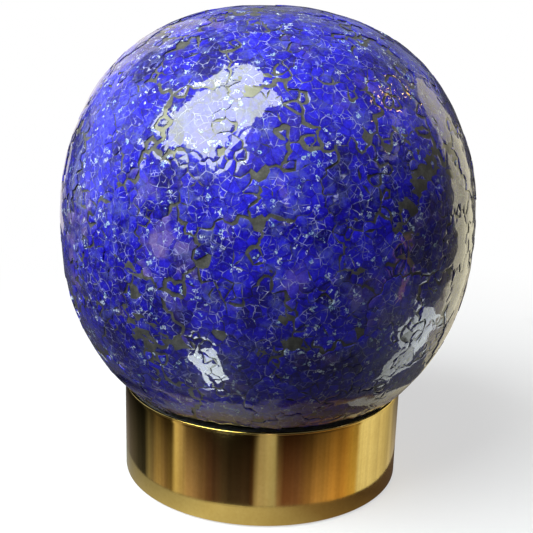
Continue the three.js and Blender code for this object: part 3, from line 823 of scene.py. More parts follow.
class Crackle:
    """The cells of crackle, the glass piece that each belongs to, and their chance values."""

    def __init__(self):
        self.middles, self.corners, self.meets, self.rings = crackle()
        self.tile, self.seeds = share_out(self.middles)
        self.choose_cells()
        self.half = grout_half_width(self.corners)
        corners, pieces = len(self.corners), len(self.seeds)
        self.draw = np.random.default_rng(77)
        self.crack = np.clip(self.draw.normal(*CRACK_FORCE, corners), 0, 1)
        # Some corners between cells get a painted glint.
        self.glint = (self.draw.random(corners) < GLINTS) * self.draw.uniform(0.5, 1.0, corners)
        self.cell_random = self.draw.random((CELLS, 2))
        self.tone = self.draw.random(pieces)
        # How strongly each glass piece carries a painted violet reflection.
        self.violet_reflection = np.clip(self.draw.normal(*VIOLET_REFLECTION, pieces), 0, 1)
        self.edges = {}

    def choose_cells(self):
        """Splits off the loose chips, and says which cells are kept."""
        beside_grout = np.zeros(CELLS, bool)
        crowded = np.zeros(CELLS, bool)
        for cells in self.meets:
            neighbours = len(set(self.tile[cells]))
            beside_grout[cells] |= neighbours > 1
            crowded[cells] |= neighbours == 3
        loose = np.flatnonzero(beside_grout & (rng.random(CELLS) < LOOSE_CELLS))
        self.tile[loose] = len(self.seeds) + np.arange(len(loose))
        self.seeds = np.concatenate([self.seeds, self.middles[loose]])
        missing = crowded & (rng.random(CELLS) < MISSING_CELLS)
        self.kept = (on_globe(self.middles, 0)[:, 2] > MOSAIC_END) & ~missing
        self.kept &= np.array([len(ring) > 2 for ring in self.rings])

    def same_piece(self, cell, own):
        return self.kept[cell] and self.tile[cell] == own

    def displaced(self, q, own):
        """A corner of the crackle moved in from the grout, and whether it lies at a rim."""
        inside = [c for c in self.meets[q] if self.same_piece(c, own)]
        if len(inside) == 3:
            return self.corners[q], False
        outside = [c for c in self.meets[q] if c not in inside]
        way = self.middles[inside].mean(axis=0) - self.middles[outside].mean(axis=0)
        way -= self.corners[q] * (way @ self.corners[q])
        way /= max(np.linalg.norm(way), 1e-9)
        return unit(self.corners[q] + way * self.half[q] / GLOBE_RADIUS), True

    def rim(self, c):
        """A cell's corners, each with the middle of the edge after it. Each is a row of its way,
        its key, whether it lies at grout, its crack and its painted glint."""
        own, ring = self.tile[c], self.rings[c]
        rows = []
        for k, q in enumerate(ring):
            following = ring[(k + 1) % len(ring)]
            way, at_grout = self.displaced(q, own)
            crack = self.crack[q] * (CRACK_AT_GROUT if at_grout else 1)
            rows.append((way, (q, own), at_grout, crack, self.glint[q]))
            shared = [n for n in self.meets[q] if n != c and n in self.meets[following]]
            open_edge = not self.same_piece(shared[0] if shared else c, own)
            edge = (min(q, following), max(q, following))
            if edge not in self.edges:
                self.edges[edge] = self.draw.normal(0, 1, 4)
            shift = self.edges[edge]
            after, _ = self.displaced(following, own)
            crooked = BEND_OUTSIDE if open_edge else BEND_INSIDE
            bend = shift[:3] * np.linalg.norm(after - way) * crooked
            crack = (self.crack[q] + self.crack[following]) / 2 + 0.25 * shift[3]
            crack = 0.0 if open_edge else float(np.clip(crack, 0, 1))
            rows.append((unit((way + after) / 2 + bend), (edge, own), open_edge, crack, 0.0))
        return rows

    def add_cell(self, mosaic, c):
        """Adds a cell's top, its side walls where it meets grout, and its underside."""
        own = self.tile[c]
        ways, keys, at_grout, cracks, glints = zip(*self.rim(c))
        count = len(ways)
        middle = unit(np.mean(ways, axis=0))

        def under_corner(k):
            return mosaic.corner(("low", keys[k]), ways[k], TILE_THICK, own)

        outer, inner, low = [], [], []
        for k, way in enumerate(ways):
            drop = RIM_DROP if at_grout[k] else 0.0
            outer.append(mosaic.corner(("outer", keys[k]), way, drop, own))
            inward = middle - way
            reach = min(CRACK / GLOBE_RADIUS / max(np.linalg.norm(inward), 1e-9), 0.45)
            inner.append(mosaic.corner(("inner", c, k), way + inward * reach, 0.0, own))
            low.append(under_corner(k) if at_grout[k] else None)
        heart = mosaic.corner(("middle", c), middle, 0.0, own)

        # The cell colour's last value is 0 at the rim, 0.3 at the inner ring and 1 at the heart; the
        # look paints shade from it, darker towards the rim. The tile colour carries a piece's tone, its
        # painted violet reflection and any painted glint.
        first, second = self.cell_random[c]
        tone = (self.tone[own], self.violet_reflection[own])
        rim_cell = [(first, second, crack, 0.0) for crack in cracks]
        rim_tile = [(*tone, glint, 1.0) for glint in glints]
        flat_cell = (first, second, 0.0, 0.3)
        flat_tile = (*tone, 0.0, 1.0)
        heart_cell = (first, second, 0.0, 1.0)
        for k in range(count):
            n = (k + 1) % count
            mosaic.face(
                (outer[k], outer[n], inner[n], inner[k]),
                (rim_cell[k], rim_cell[n], flat_cell, flat_cell),
                (rim_tile[k], rim_tile[n], flat_tile, flat_tile),
            )
            mosaic.face(
                (inner[k], inner[n], heart), (flat_cell, flat_cell, heart_cell), (flat_tile,) * 3
            )
            if at_grout[k] and at_grout[n]:
                mosaic.face((low[k], low[n], outer[n], outer[k]), (flat_cell,) * 4, (flat_tile,) * 4)
        under = [under_corner(k) for k in range(count) if k % 2 == 0 or at_grout[k]]
        mosaic.face(tuple(under[::-1]), (flat_cell,) * len(under), (flat_tile,) * len(under))


def make_mosaic():
    """The glass pieces, as an upper and a lower mesh. Each piece is tilted and lifted a little."""
    crackled = Crackle()
    halves = [Mosaic(), Mosaic()]
    for c in np.flatnonzero(crackled.kept):
        lower = crackled.seeds[crackled.tile[c]][2] < HALVES_MEET
        crackled.add_cell(halves[int(lower)], c)
    seeds = crackled.seeds
    draw = np.random.default_rng(91)
    tilts = draw.normal(0, TILT, seeds.shape)
    lifts = draw.normal(0, LIFT, len(seeds))
    for name, mosaic in zip(("glass_pieces_upper", "glass_pieces_lower"), halves):
        ways = np.array(mosaic.ways)
        tiles = np.array(mosaic.tiles)
        lean = (tilts[tiles] * (ways - seeds[tiles])).sum(axis=1) * GLOBE_RADIUS
        lean = MAX_LEAN * np.tanh(lean / MAX_LEAN)
        depth = np.array(mosaic.depths) + SKIN - lean - ripple(ways) - lifts[tiles]
        verts = on_globe(unit(ways), depth)
        thing = piece(name, verts, mosaic.faces, "crackle_glass", "crackle_tiles")
        paint(thing, "cell", "CORNER", mosaic.cell_colours)
        paint(thing, "tile", "CORNER", mosaic.tile_colours)
        thing.data.set_sharp_from_angle(angle=math.radians(50))


def make_grout():
    """The grout bed: rough where it shows between the pieces, smooth on its hidden back."""
    low = box("grout_bed")[0][2]
    narrow, front, back = 60, SKIN + GROUT_DEPTH, 3.0
    outside = [p for p in globe_outline(front, narrow, 60) if p[1] > low]
    inside = [p for p in globe_outline(back, narrow, 14) if p[1] > low]
    verts, faces = lathe(outside + inside[::-1], 300)
    ways = unit(verts - UP * GLOBE_MIDDLE)
    rough = ripple(ways) + 0.05 * waves(verts, 7, 21) + 0.035 * waves(verts, 2.6, 22)
    rough[np.linalg.norm(verts - on_globe(ways, front), axis=1) > 0.5] = 0
    facing_out(piece("grout_between", verts + ways * rough[:, None], faces, "grout", "grout_bed"))


def make_glass_globe():
    """The clear blown globe under the mosaic, with a fire-rounded lip."""
    low = box("glass_globe")[0]
    mouth = 45
    outside = globe_outline(GLASS_INSET, mouth, 40)
    inside = globe_outline(GLASS_INSET + GLASS_WALL, mouth, 40)
    bottom = [(mouth + 0.4, low[2] + 0.3), (mouth - 0.6, low[2] + 0.6)]
    verts, faces = lathe(outside + bottom + inside[::-1], SEGMENTS)
    facing_out(piece("glass_globe_fine", verts, faces, "clear_glass", "glass_globe"))


# ---- Drum, seat and felts -------------------------------------------------------------------


def make_drum():
    low, high = box("drum_shell")
    radius, top, bottom = high[0], high[2], low[2]
    bore = radius - SHEET
    bead = 0.75  # radius of the rolled rim
    middle = top - bead
    arc = [
        (radius - bead + bead * math.cos(a), middle + bead * math.sin(a))
        for a in np.linspace(-0.35, math.pi, 12)
    ]
    outline = [
        (bore, bottom), (radius - 0.25, bottom), (radius - 0.06, bottom + 0.12),
        (radius, bottom + 0.45), (radius, bottom + 1.2), (radius, middle - 1.6),
        (radius - 0.02, middle - 0.75), (radius - 0.16, middle - 0.42), *arc,
        (radius - 2 * bead, middle - 0.5), (bore, middle - 1.2), (bore, middle - 2.0),
        (bore, bottom + 0.5),
    ]
    verts, faces = lathe(outline, 256)
    drum = facing_out(piece("drum_wall", verts, faces, "polished_brass", "drum_shell"))
    grommet_low, grommet_high = box("cord_grommet")
    height = (grommet_low[2] + grommet_high[2]) / 2
    hole = cutter(5, -4, 4, (0, radius, height), about_y=True)
    cut_away(drum, hole)


def globe_height(radius, inset):
    """The height of the globe's lower half at a radius, sunk by an inset."""
    share = (radius / (GLOBE_RADIUS - inset)) ** ROUND_DOWN
    return GLOBE_MIDDLE - (GLOBE_DOWN - inset) * (1 - share) ** (1 / ROUND_DOWN)


def seat_line(distance):
    """The two ends of the seat's slope, a distance under the glass that stands on it."""
    inner, outer = (np.array([r, globe_height(r, GLASS_INSET)]) for r in SEAT_RADII)
    along = (outer - inner) / np.linalg.norm(outer - inner)
    away = np.array([along[1], -along[0]]) * distance
    return inner + away, outer + away


def make_seat():
    """The pressed steel ring, and the felt glued over its slope and its flat shelf."""
    low, high = box("globe_seat")
    skirt, shelf, foot = high[0], high[2], low[2]
    felt_inner, felt_outer = seat_line(GAP)
    back_inner, back_outer = seat_line(GAP + SHEET)
    felt = [
        felt_inner, back_inner, back_outer, (skirt - GAP, shelf + GAP / 2),
        (skirt - GAP, shelf + GAP / 2 + SHEET), felt_outer,
    ]
    turned("seat_felt", felt, "black_felt", 0.5)
    top_inner, top_outer = seat_line(2 * GAP + SHEET)
    under_inner, under_outer = seat_line(2 * GAP + 2 * SHEET)
    slope = (under_outer - under_inner)[1] / (under_outer - under_inner)[0]
    bend = under_inner[0] + (shelf - SHEET - under_inner[1]) / slope
    seat = [
        top_inner, under_inner, (bend, shelf - SHEET), (skirt - SHEET, shelf - SHEET),
        (skirt - SHEET, foot), (skirt, foot), (skirt, shelf), top_outer,
    ]
    turned("globe_seat", seat, "zinc_plated_steel", 0.9)


def make_foot_felt():
    low, high = box("foot_felt")
    felt = turned("foot_felt", tube(0, high[0], low[2], high[2]), "black_felt", 0.4)
    out, radius = 58, 5  # of the holes that let the plate's screws be reached
    holes = []
    for degrees in (30, 150, 270):
        angle = math.radians(degrees)
        at = (out * math.cos(angle), out * math.sin(angle), 0)
        holes.append(cutter(radius, low[2] - 1, high[2] + 1, at))
    cut_away(felt, *holes)


def make_plate():
    low, high = box("base_plate")
    plate = turned("base_plate", tube(0, high[0], low[2], high[2]), "zinc_plated_steel", 0.3)
    screws = [f"base_screw_{number}" for number in (1, 2, 3)] + ["strap_screw_1", "strap_screw_2"]
    holes = [cutter(SCREW_HOLE, low[2] - 1, high[2] + 1, axis_of(node)) for node in screws]
    cut_away(plate, *holes)
    for number in (1, 2, 3):
        refined(f"drum_tab_{number}", "zinc_plated_steel", 0.3)
        pan_screw(f"base_screw_{number}", "zinc_plated_steel")


def make_grommet():
    """The rubber inlet, turned about its own axis and laid along +Y."""
    low, high = box("cord_grommet")
    wall = box("drum_shell")[1][1]
    inside, outside = low[1] - wall, high[1] - wall
    outline = [
        (3.5, inside), (5.7, inside), (6.3, inside + 0.8), (6.3, inside + 2),
        (4.7, inside + 2), (4.7, outside - 2), (7, outside - 2), (7, outside - 1),
        (6, outside), (4, outside), (3.5, outside - 0.5),
    ]
    at = (0, wall, (low[2] + high[2]) / 2)
    turned("cord_grommet", outline, "black_rubber", 0.35, SEGMENTS_SMALL, at, about_y=True)


# ---- Strap, lampholder and bulb -------------------------------------------------------------


def make_strap():
    refined("bridge_strap", "zinc_plated_steel", 0.3)
    refined("earth_tag", "zinc_plated_steel", 0.15)
    pan_screw("strap_screw_1", "zinc_plated_steel", head_up=True)
    pan_screw("strap_screw_2", "zinc_plated_steel", head_up=True)
    low, high = box("nipple")
    thread = Thread(4.5, 5.0, 1.0, low[2] + 0.3, high[2] - 0.3)
    outline = [
        (3.5, low[2]), (4.3, low[2]), *thread.rows(), (4.3, high[2]), (3.5, high[2]),
    ]
    threaded("nipple", outline, thread, "plain_brass")
    refined("nipple_nut", "plain_brass", 0.35)
    low, high = box("nipple_washer")
    turned("nipple_washer", tube(NIPPLE_HOLE, high[0], low[2], high[2]), "zinc_plated_steel", 0.25)


def make_holder():
    low, high = box("holder_cap")
    radius, bottom, joint = high[0], low[2], high[2]
    wall = 1.6
    outline = [
        (NIPPLE_HOLE, bottom), (radius - 4, bottom), (radius - 1.2, bottom + 1.2),
        (radius, bottom + 4), (radius, joint - 2.2), (radius - 0.35, joint - 2.0),
        (radius - 0.35, joint - 1.4), (radius, joint - 1.2), (radius, joint),
        (radius - wall, joint), (radius - wall, bottom + 4.6), (radius - 4.6, bottom + 2),
        (NIPPLE_HOLE, bottom + 2),
    ]
    turned("holder_cap", outline, "black_plastic", 0.7)

    low, high = box("holder_skirt")
    insert_low, insert_high = box("holder_insert")
    bore = 8.4
    top, foot = high[2], insert_high[2] + GAP
    outline = [(bore, foot), (radius - wall, foot), (radius - wall, low[2]), (radius, low[2])]
    for rib in range(4):
        at = low[2] + 3 + 2.4 * rib
        outline += [
            (radius, at), (radius - 0.4, at + 0.4), (radius - 0.4, at + 1.0), (radius, at + 1.4)
        ]
    outline += [(radius, top - 3), (radius - 0.8, top - 1), (radius - 2.4, top), (bore, top)]
    turned("holder_skirt", outline, "black_plastic", 0.3)

    well = insert_low[2] + 4
    outline = [
        (0, insert_low[2]), (insert_high[0], insert_low[2]), (insert_high[0], insert_high[2]),
        (bore, insert_high[2]), (bore, well), (0, well),
    ]
    insert = turned("holder_insert", outline, "steatite", 0.4)
    holes = []
    for number in (1, 2):
        node = f"holder_terminal_screw_{number}"
        holes.append(cutter(SCREW_HOLE, insert_low[2] - 1, insert_low[2] + 3.2, axis_of(node)))
        pan_screw(node, "plain_brass")
    cut_away(insert, *holes)
    refined("centre_contact", "plain_brass", 0.12)
    refined("side_contact", "plain_brass", 0.12)


def make_bulb():
    low, high = box("bulb_contact")
    radius = high[0]
    outline = [
        (0, low[2]), (radius * 0.5, low[2] + 0.05), (radius * 0.85, low[2] + 0.25),
        (radius, low[2] + 0.6), (radius, high[2]), (0, high[2]),
    ]
    turned("bulb_contact", outline, "nickel", 0.2, SEGMENTS_SMALL)

    foot, top = (corner[2] for corner in box("bulb_insulator"))
    outline = [(0, foot), (2.9, foot), (5.7, top - 1), (5.85, top - 0.6), (5.85, top), (0, top)]
    turned("bulb_insulator", outline, "black_plastic", 0.4)

    foot, top = (corner[2] for corner in box("bulb_cap"))
    pitch, turns = 2.82, 5
    thread = Thread(6.35, 6.95, pitch, foot + 0.1, foot + pitch * turns)
    outline = [(5.3, foot), *thread.rows(), (6.4, top - 1.2), (6.75, top - 0.7), (6.7, top), (5.3, top)]
    threaded("bulb_cap", outline, thread, "nickel", segments=72)

    low, high = box("bulb_housing")
    collar = top + GAP
    neck, radius = 7.9, high[0]
    neck_top = box("holder_skirt")[1][2] + 0.8
    shoulder = high[2] - 4
    flare = [
        (neck + (radius - neck) * (1 - math.cos(a)), neck_top + (shoulder - neck_top) * math.sin(a))
        for a in np.linspace(0, math.pi / 2, 20)
    ]
    seat = high[2] - 3.5
    outline = [
        (0, low[2]), (5.0, low[2]), (5.0, collar), (neck, collar), *flare, (radius, high[2]),
        (17.3, high[2]), (17.3, seat), (0, seat),
    ]
    turned("bulb_housing", outline, "white_plastic", 0.4)
    refined("led_board", "circuit_board", 0.12)

    low, high = box("bulb_dome")
    ball, wall, opening = high[0], 1.2, 19.5
    start = -math.acos(opening / ball)
    middle = high[2] - ball
    turn = np.linspace(start, math.pi / 2, 40)
    outside = [(ball * math.cos(a), middle + ball * math.sin(a)) for a in turn[:-1]]
    inside = [
        ((ball - wall) * math.cos(a), middle + (ball - wall) * math.sin(a))
        for a in turn[-2:0:-1]
    ]
    outline = [
        *outside, (0, middle + ball), (0, middle + ball - wall), *inside,
        (opening - wall, low[2]),
    ]
    turned("bulb_dome", outline, "opal_plastic", 0.3)


# ---- Wiring ---------------------------------------------------------------------------------


def make_terminals():
    refined("terminal_block", "steatite", 0.35)
    for number in (1, 2, 3):
        node = f"terminal_pole_{number}"
        low, high = box(node)
        reach = (high[1] - low[1]) / 2
        x, y = (low[0] + high[0]) / 2, (low[1] + high[1]) / 2
        height = low[2] + POLE_RADIUS
        outline = tube(POLE_BORE, POLE_RADIUS, -reach, reach)
        pole = turned(node, outline, "plain_brass", 0.2, SEGMENTS_SMALL, (x, y, height), about_y=True)
        foot = height + POLE_BORE + 0.3
        places = [(x, y + 3.5 * side, 0) for side in (-1, 1)]
        screws = [cutter(1.3, foot, high[2], at) for at in places]
        cut_away(pole, *screws, operation="UNION")
        slots = [bar_cutter((2.8, 0.5, 1.4), (x, y, high[2])) for x, y, _ in places]
        cut_away(pole, *slots)


def between(first, second, low, high, at):
    return first + (second - first) * (at - low) / (high - low)


def smooth_path(points, steps=8):
    """Points along a centripetal Catmull-Rom curve through the given points."""
    points = [np.array(p, float) for p in points]
    points = [2 * points[0] - points[1], *points, 2 * points[-1] - points[-2]]
    made = []
    for i in range(1, len(points) - 2):
        p = points[i - 1 : i + 3]
        t = [0.0]
        for a, b in zip(p, p[1:]):
            t.append(t[-1] + math.sqrt(np.linalg.norm(b - a)))
        for at in np.linspace(t[1], t[2], steps, endpoint=False):
            legs = [between(p[k], p[k + 1], t[k], t[k + 1], at) for k in range(3)]
            bends = [between(legs[k], legs[k + 1], t[k], t[k + 2], at) for k in range(2)]
            made.append(between(bends[0], bends[1], t[1], t[2], at))
    made.append(points[-2])
    return np.array(made)


def lead(node, points, slot):
    """A sleeved wire through these points, with its ends trimmed square."""
    radius, sides = 1.1, 16
    path = smooth_path(points)
    ways = unit(np.gradient(path, axis=0))
    side = unit(np.cross(ways[0], UP + [0.1, 0.2, 0]))
    verts, faces = [], []
    for here, way in zip(path, ways):
        side = unit(side - way * (side @ way))
        across = np.cross(way, side)
        for k in range(sides):
            angle = 2 * math.pi * k / sides
            verts.append(here + radius * (side * math.cos(angle) + across * math.sin(angle)))
    for row in range(len(path) - 1):
        start = row * sides
        for k in range(sides):
            n = (k + 1) % sides
            faces.append((start + k, start + n, start + sides + n, start + sides + k))
    faces.append(tuple(range(sides))[::-1])
    faces.append(tuple(range(len(verts) - sides, len(verts))))
    wire = facing_out(piece(node + "_fine", verts, faces, slot, node))
    sharpen(wire, 60)


def make_leads():
    """The route of each wire, from its pole in the terminal block to where it is clamped."""
    _, pole_y, pole_z = box("terminal_pole_1")[0] + UP * POLE_RADIUS
    floor = box("base_plate")[1][2] + 1.4
    clamp_z = box("holder_terminal_screw_1")[0][2] + 0.85
    nipple_top = box("nipple")[1][2]
    for node, slot, side, pole in (
        ("live_lead", "brown_insulation", -1, -7.5),
        ("neutral_lead", "blue_insulation", 1, 0),
    ):
        bend = 1.8 * side - pole
        lead(node, [
            (pole, pole_y + 2, pole_z), (pole, pole_y - 2.5, pole_z),
            (pole + 0.2 * bend, pole_y - 7, pole_z - 2),
            (pole + 0.6 * bend, 11.5, floor + 0.6), (1.8 * side, 7, floor),
            (1.35 * side, 3.4, floor + 0.1), (1.35 * side, 0.9, floor + 1.9),
            (1.35 * side, 0.1, floor + 5), (1.35 * side, 0, nipple_top - 3),
            (1.45 * side, 0, nipple_top + 0.5), (2.55 * side, 0, clamp_z - 1.2),
            (3.3 * side, 0, clamp_z - 0.15), (5.1 * side, 0, clamp_z),
        ], slot)
    tag_x = axis_of("strap_screw_2")[0]
    tag_z = box("earth_tag")[1][2] + 1.4
    lead("earth_lead", [
        (7.5, pole_y + 2, pole_z), (7.5, pole_y - 2, pole_z),
        (10.5, pole_y - 5.5, pole_z - 0.4), (20, 17, pole_z - 1), (31, 18.5, tag_z + 0.6),
        (37.5, 15.5, tag_z), (tag_x, 11, tag_z), (tag_x, 7.5, tag_z),
    ], "green_yellow_insulation")


make_camera()
make_mosaic()
make_grout()
make_glass_globe()
make_drum()
make_foot_felt()
make_seat()
make_plate()
make_grommet()
make_strap()
make_holder()
make_bulb()
make_terminals()
make_leads()


# ---- Stage ----------------------------------------------------------------------------------

MAT_RADII = (0.080, 0.089)  # metres, across and along
WARM_LAMPS = ((81, 44), (103, 42), (95, 41), (93, 36), (110, 38))  # azimuth and elevation
FLOOR_PATCHES = {  # corners in plan, colour, strength, height over the mirrored floor
    "floor_right": (
        ((0.20, -0.02), (0.40, 0.05), (0.30, 0.40), (0.10, 0.12)), (1.0, 0.9, 0.65), 0.7, 0
    ),
    "shelf_low": (
        ((0.103, -0.062), (0.142, -0.068), (0.172, -0.034), (0.150, -0.012), (0.112, -0.032)),
        (0.9, 0.95, 0.85), 2.0, 0.0004,
    ),
}


def stage_mesh(name, verts, faces, look, camera=False, diffuse=True, glossy=True, shadow=False):
    thing = new_mesh(name, verts, faces)
    thing.data.materials.append(look)
    thing.visible_camera = camera
    thing.visible_diffuse = diffuse
    thing.visible_glossy = glossy
    thing.visible_transmission = glossy
    thing.visible_shadow = shadow
    return thing


def glow(name, colour, strength, hot=None):
    """The light of a card. Hot is a stronger glow in its middle."""
    g = Glow(name)
    g.set(Color=(*colour, 1), Strength=strength)
    if hot:
        away = g.node("ShaderNodeVectorMath", operation="DISTANCE")
        away.inputs[1].default_value = (0.5, 0.5, 0)
        g.put(away.inputs[0], g.node("ShaderNodeTexCoord").outputs["Generated"])
        g.set(Strength=g.fade(away.outputs["Value"], (0.08, hot), (0.30, strength)))
    return g.look


def card(name, azimuth, elevation, distance, width, height, colour, strength, hot=None,
         centre=(0, 0, 0.15), roll=0, diffuse=False, glossy=True):
    """A glowing card that faces the lamp. Azimuth 0 is in front, positive to the right."""
    a, e = math.radians(azimuth), math.radians(elevation)
    away = Vector((math.sin(a) * math.cos(e), -math.cos(a) * math.cos(e), math.sin(e)))
    turn = away.to_track_quat("Z", "Y") @ Matrix.Rotation(math.radians(roll), 3, "Z").to_quaternion()
    middle = Vector(centre) + away * distance
    corners = [(-1, -1), (1, -1), (1, 1), (-1, 1)]
    verts = [(x * width / 2, y * height / 2, 0) for x, y in corners]
    thing = stage_mesh(name, verts, [(0, 1, 2, 3)], glow(name, colour, strength, hot),
                       diffuse=diffuse, glossy=glossy)
    thing.matrix_world = Matrix.Translation(middle) @ turn.to_matrix().to_4x4()


def disc(name, across, along, z, look, **visible):
    count = 96
    turn = [2 * math.pi * k / count for k in range(count)]
    verts = [(across * math.cos(angle), along * math.sin(angle), z) for angle in turn]
    stage_mesh(name, verts, [tuple(range(count))], look, **visible)


def floor_look():
    """Pale matt floor that fades into the white background away from the lamp."""
    g = Graph("floor")
    g.set(Base_Color=(0.82, 0.82, 0.81, 1), Roughness=0.9, Specular_IOR_Level=0.1)
    away = g.node("ShaderNodeVectorMath", operation="LENGTH")
    g.put(away.inputs[0], g.where)
    fade = g.fade(away.outputs["Value"], (0.12, 0.6), (0.5, 1.0))
    g.cover(fade, g.node("ShaderNodeEmission"))
    return g.look


# Round the drum's foot: share of a turn from straight ahead, and the light there. Warm greys.
SURROUND = (
    (0.000, (0.43, 0.38, 0.34)), (0.020, (0.54, 0.52, 0.45)), (0.026, (0.19, 0.13, 0.10)),
    (0.034, (0.09, 0.04, 0.03)), (0.055, (0.10, 0.05, 0.04)), (0.090, (0.31, 0.19, 0.09)),
    (0.123, (0.50, 0.28, 0.09)), (0.134, (0.58, 0.38, 0.12)), (0.143, (0.46, 0.33, 0.11)),
    (0.148, (0.70, 0.66, 0.52)), (0.160, (0.73, 0.70, 0.57)), (0.210, (0.58, 0.52, 0.32)),
    (0.245, (0.35, 0.31, 0.24)), (0.300, (0.16, 0.13, 0.10)), (0.420, (0.40, 0.36, 0.30)),
    (0.500, (0.62, 0.58, 0.52)), (0.570, (0.10, 0.08, 0.06)), (0.660, (0.35, 0.31, 0.26)),
    (0.740, (0.13, 0.12, 0.12)), (0.800, (0.03, 0.03, 0.03)), (0.817, (0.02, 0.02, 0.02)),
    (0.826, (0.22, 0.20, 0.15)), (0.834, (0.12, 0.10, 0.08)), (0.844, (0.28, 0.22, 0.14)),
    (0.859, (0.14, 0.10, 0.07)), (0.871, (0.16, 0.12, 0.06)), (0.876, (0.60, 0.52, 0.34)),
    (0.888, (0.52, 0.42, 0.30)), (0.894, (0.26, 0.19, 0.15)), (0.929, (0.09, 0.05, 0.05)),
    (0.947, (0.04, 0.03, 0.03)), (0.985, (0.03, 0.02, 0.02)), (0.990, (0.06, 0.03, 0.02)),
    (0.996, (0.30, 0.26, 0.22)), (1.000, (0.43, 0.38, 0.34)),
)


def make_surround():
    """A wall of soft upright stripes round the drum, for its polish to mirror. Only reflections
    see it. The dark stripes get lighter towards the floor."""
    columns, rows = 1080, 6
    across, along = (radius / MM for radius in MAT_RADII)
    top = 52
    turn = np.arange(columns) / columns
    places, colours = zip(*SURROUND)
    stripe = np.stack([np.interp(turn, places, channel) for channel in np.array(colours).T], axis=1)
    around = 2 * math.pi * turn
    line = np.stack([np.cos(around), np.sin(around), 0 * turn], axis=1) * across
    streak = 1 + 0.10 * waves(line, 9, 41) + 0.07 * waves(line, 2.5, 42)
    shade = stripe.mean(axis=1)
    fall = np.clip(1.4 - 3 * shade, 0, 1)
    verts, light = [], []
    for row in range(rows + 1):
        height = row / rows
        level = 1 + fall * (0.75 - 2.2 * height)
        glow_here = stripe * (streak * np.clip(level, 0.2, 2))[:, None]
        for k in range(columns):
            verts.append((across * math.sin(around[k]), -along * math.cos(around[k]), top * height))
            light.append((*glow_here[k], 1))
    faces = []
    for row in range(rows):
        for k in range(columns):
            low, high = row * columns, (row + 1) * columns
            n = (k + 1) % columns
            faces.append((low + k, low + n, high + n, high + k))
    g = Glow("surround")
    g.set(Color=g.node("ShaderNodeVertexColor", layer_name="light").outputs["Color"])
    wall = stage_mesh("surround", np.array(verts) * MM, faces, g.look, diffuse=False)
    paint(wall, "light", "POINT", light)


def mat_look():
    """The floor close to the lamp as its polished drum mirrors it: warm, and darker to the right."""
    g = Glow("mat")
    split = g.node("ShaderNodeSeparateXYZ")
    g.put(split.inputs[0], g.where)
    across = g.times(split.outputs["X"], 0.5 / MAT_RADII[0], 0.5)
    colour = g.ramp(
        across,
        (0.0, (0.24, 0.24, 0.22)), (0.13, (0.42, 0.41, 0.36)), (0.32, (0.70, 0.68, 0.57)),
        (0.52, (0.52, 0.48, 0.38)), (0.72, (0.22, 0.16, 0.10)), (0.90, (0.09, 0.06, 0.045)),
    )
    g.set(Color=colour)
    return g.look


def make_world():
    """White behind the lamp for the camera; a dim room with a bright ceiling for light."""
    g = Graph("studio", world=bpy.data.worlds.new("studio"))
    bpy.context.scene.world = g.look
    split = g.node("ShaderNodeSeparateXYZ")
    g.put(split.inputs[0], g.node("ShaderNodeTexCoord").outputs["Generated"])
    height = g.times(split.outputs["Z"], 0.5, 0.5)
    greys = ((0.0, 0.10), (0.45, 0.04), (0.55, 0.05), (0.75, 0.14), (1.0, 0.22))
    g.set(Color=g.ramp(height, *((place, (grey, grey, grey * 1.05)) for place, grey in greys)))
    seen = g.node("ShaderNodeBackground")
    seen.inputs["Color"].default_value = (1, 1, 1, 1)
    g.cover(g.node("ShaderNodeLightPath").outputs["Is Camera Ray"], seen)


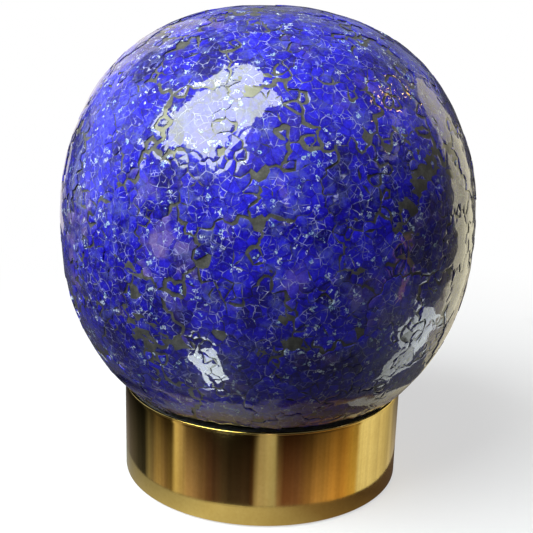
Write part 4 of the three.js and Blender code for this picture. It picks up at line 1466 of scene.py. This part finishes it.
def make_stage():
    day, daylight = (0.93, 1.0, 0.66), 10.5  # the window as the glass mirrors it
    disc("floor", 3, 3, 0, floor_look(), camera=True, diffuse=False, glossy=False, shadow=True)
    disc("mirrored_floor", 1.5, 1.5, -0.0005, glow("far_floor", (0.8, 0.78, 0.75), 0.12))
    disc("mirrored_mat", *MAT_RADII, -0.0003, mat_look())
    for name, (corners, colour, strength, height) in FLOOR_PATCHES.items():
        verts = [(x, y, height) for x, y in corners]
        stage_mesh(name, verts, [tuple(range(len(verts)))], glow(name, colour, strength), diffuse=False)
    make_surround()
    make_world()
    card("window", -43, 48, 0.8, 0.56, 0.74, day, daylight, hot=15, roll=-11,
         centre=(0.049, -0.006, 0.177))
    card("window_side", -43, 48, 0.8, 0.20, 0.17, day, daylight, roll=-35,
         centre=(-0.283, 0.151, 0.077))
    card("window_light", -54, 48, 0.8, 0.72, 0.62, (0.93, 0.98, 1.0), 13, diffuse=True, glossy=False)
    card("sky_back", 180, 36, 1.2, 3.0, 0.9, (0.92, 0.96, 1.0), 0.33)
    card("sky_left", -105, 14, 0.9, 0.75, 0.7, (0.85, 0.93, 1.0), 0.72)
    card("wall_right", 134, 4, 0.2, 0.10, 0.31, (1.0, 0.93, 0.66), 1.45,
         centre=(0.085, -0.050, 0.130))
    card("dark_right", 92, 0, 0.22, 0.5, 0.42, (1.0, 0.9, 0.9), 0.004, diffuse=True, glossy=False)
    card("shade_right", 101, -12, 0.3, 0.17, 0.26, (1.0, 0.8, 0.9), 0.012,
         centre=(0.070, -0.060, 0.120))
    card("curtain_right", 77, -12, 0.28, 0.022, 0.12, (1.0, 0.42, 0.45), 1.1,
         centre=(0.060, -0.080, 0.120), roll=8)
    card("shelf_right", 108, -35, 0.14, 0.075, 0.095, (0.93, 1.0, 0.98), 3.0,
         centre=(0.066, -0.075, 0.090), roll=-12)
    card("wall_left", -151, 6, 0.6, 0.27, 0.85, (1.0, 0.93, 0.86), 0.95)
    card("low_light", -45, -57, 0.05, 0.019, 0.034, (0.9, 1.0, 0.98), 10,
         centre=(-0.022, -0.091, 0.085), roll=9)
    card("doorway", 6, 16, 0.7, 0.05, 0.22, (1.0, 0.75, 0.8), 1.3)
    card("arch_left", -132, 30, 0.6, 0.05, 0.3, (0.8, 0.80, 1.0), 1.5, roll=60)
    card("arch_right", 77, 30, 0.6, 0.05, 0.3, (0.85, 0.80, 1.0), 1.4, roll=-60)
    for number, (azimuth, elevation) in enumerate(WARM_LAMPS):
        card(f"warm_lamp_{number}", azimuth, elevation, 0.85, 0.035, 0.022, (1.0, 0.60, 0.14), 42)
    bpy.context.scene.view_settings.view_transform = "Standard"


make_stage()
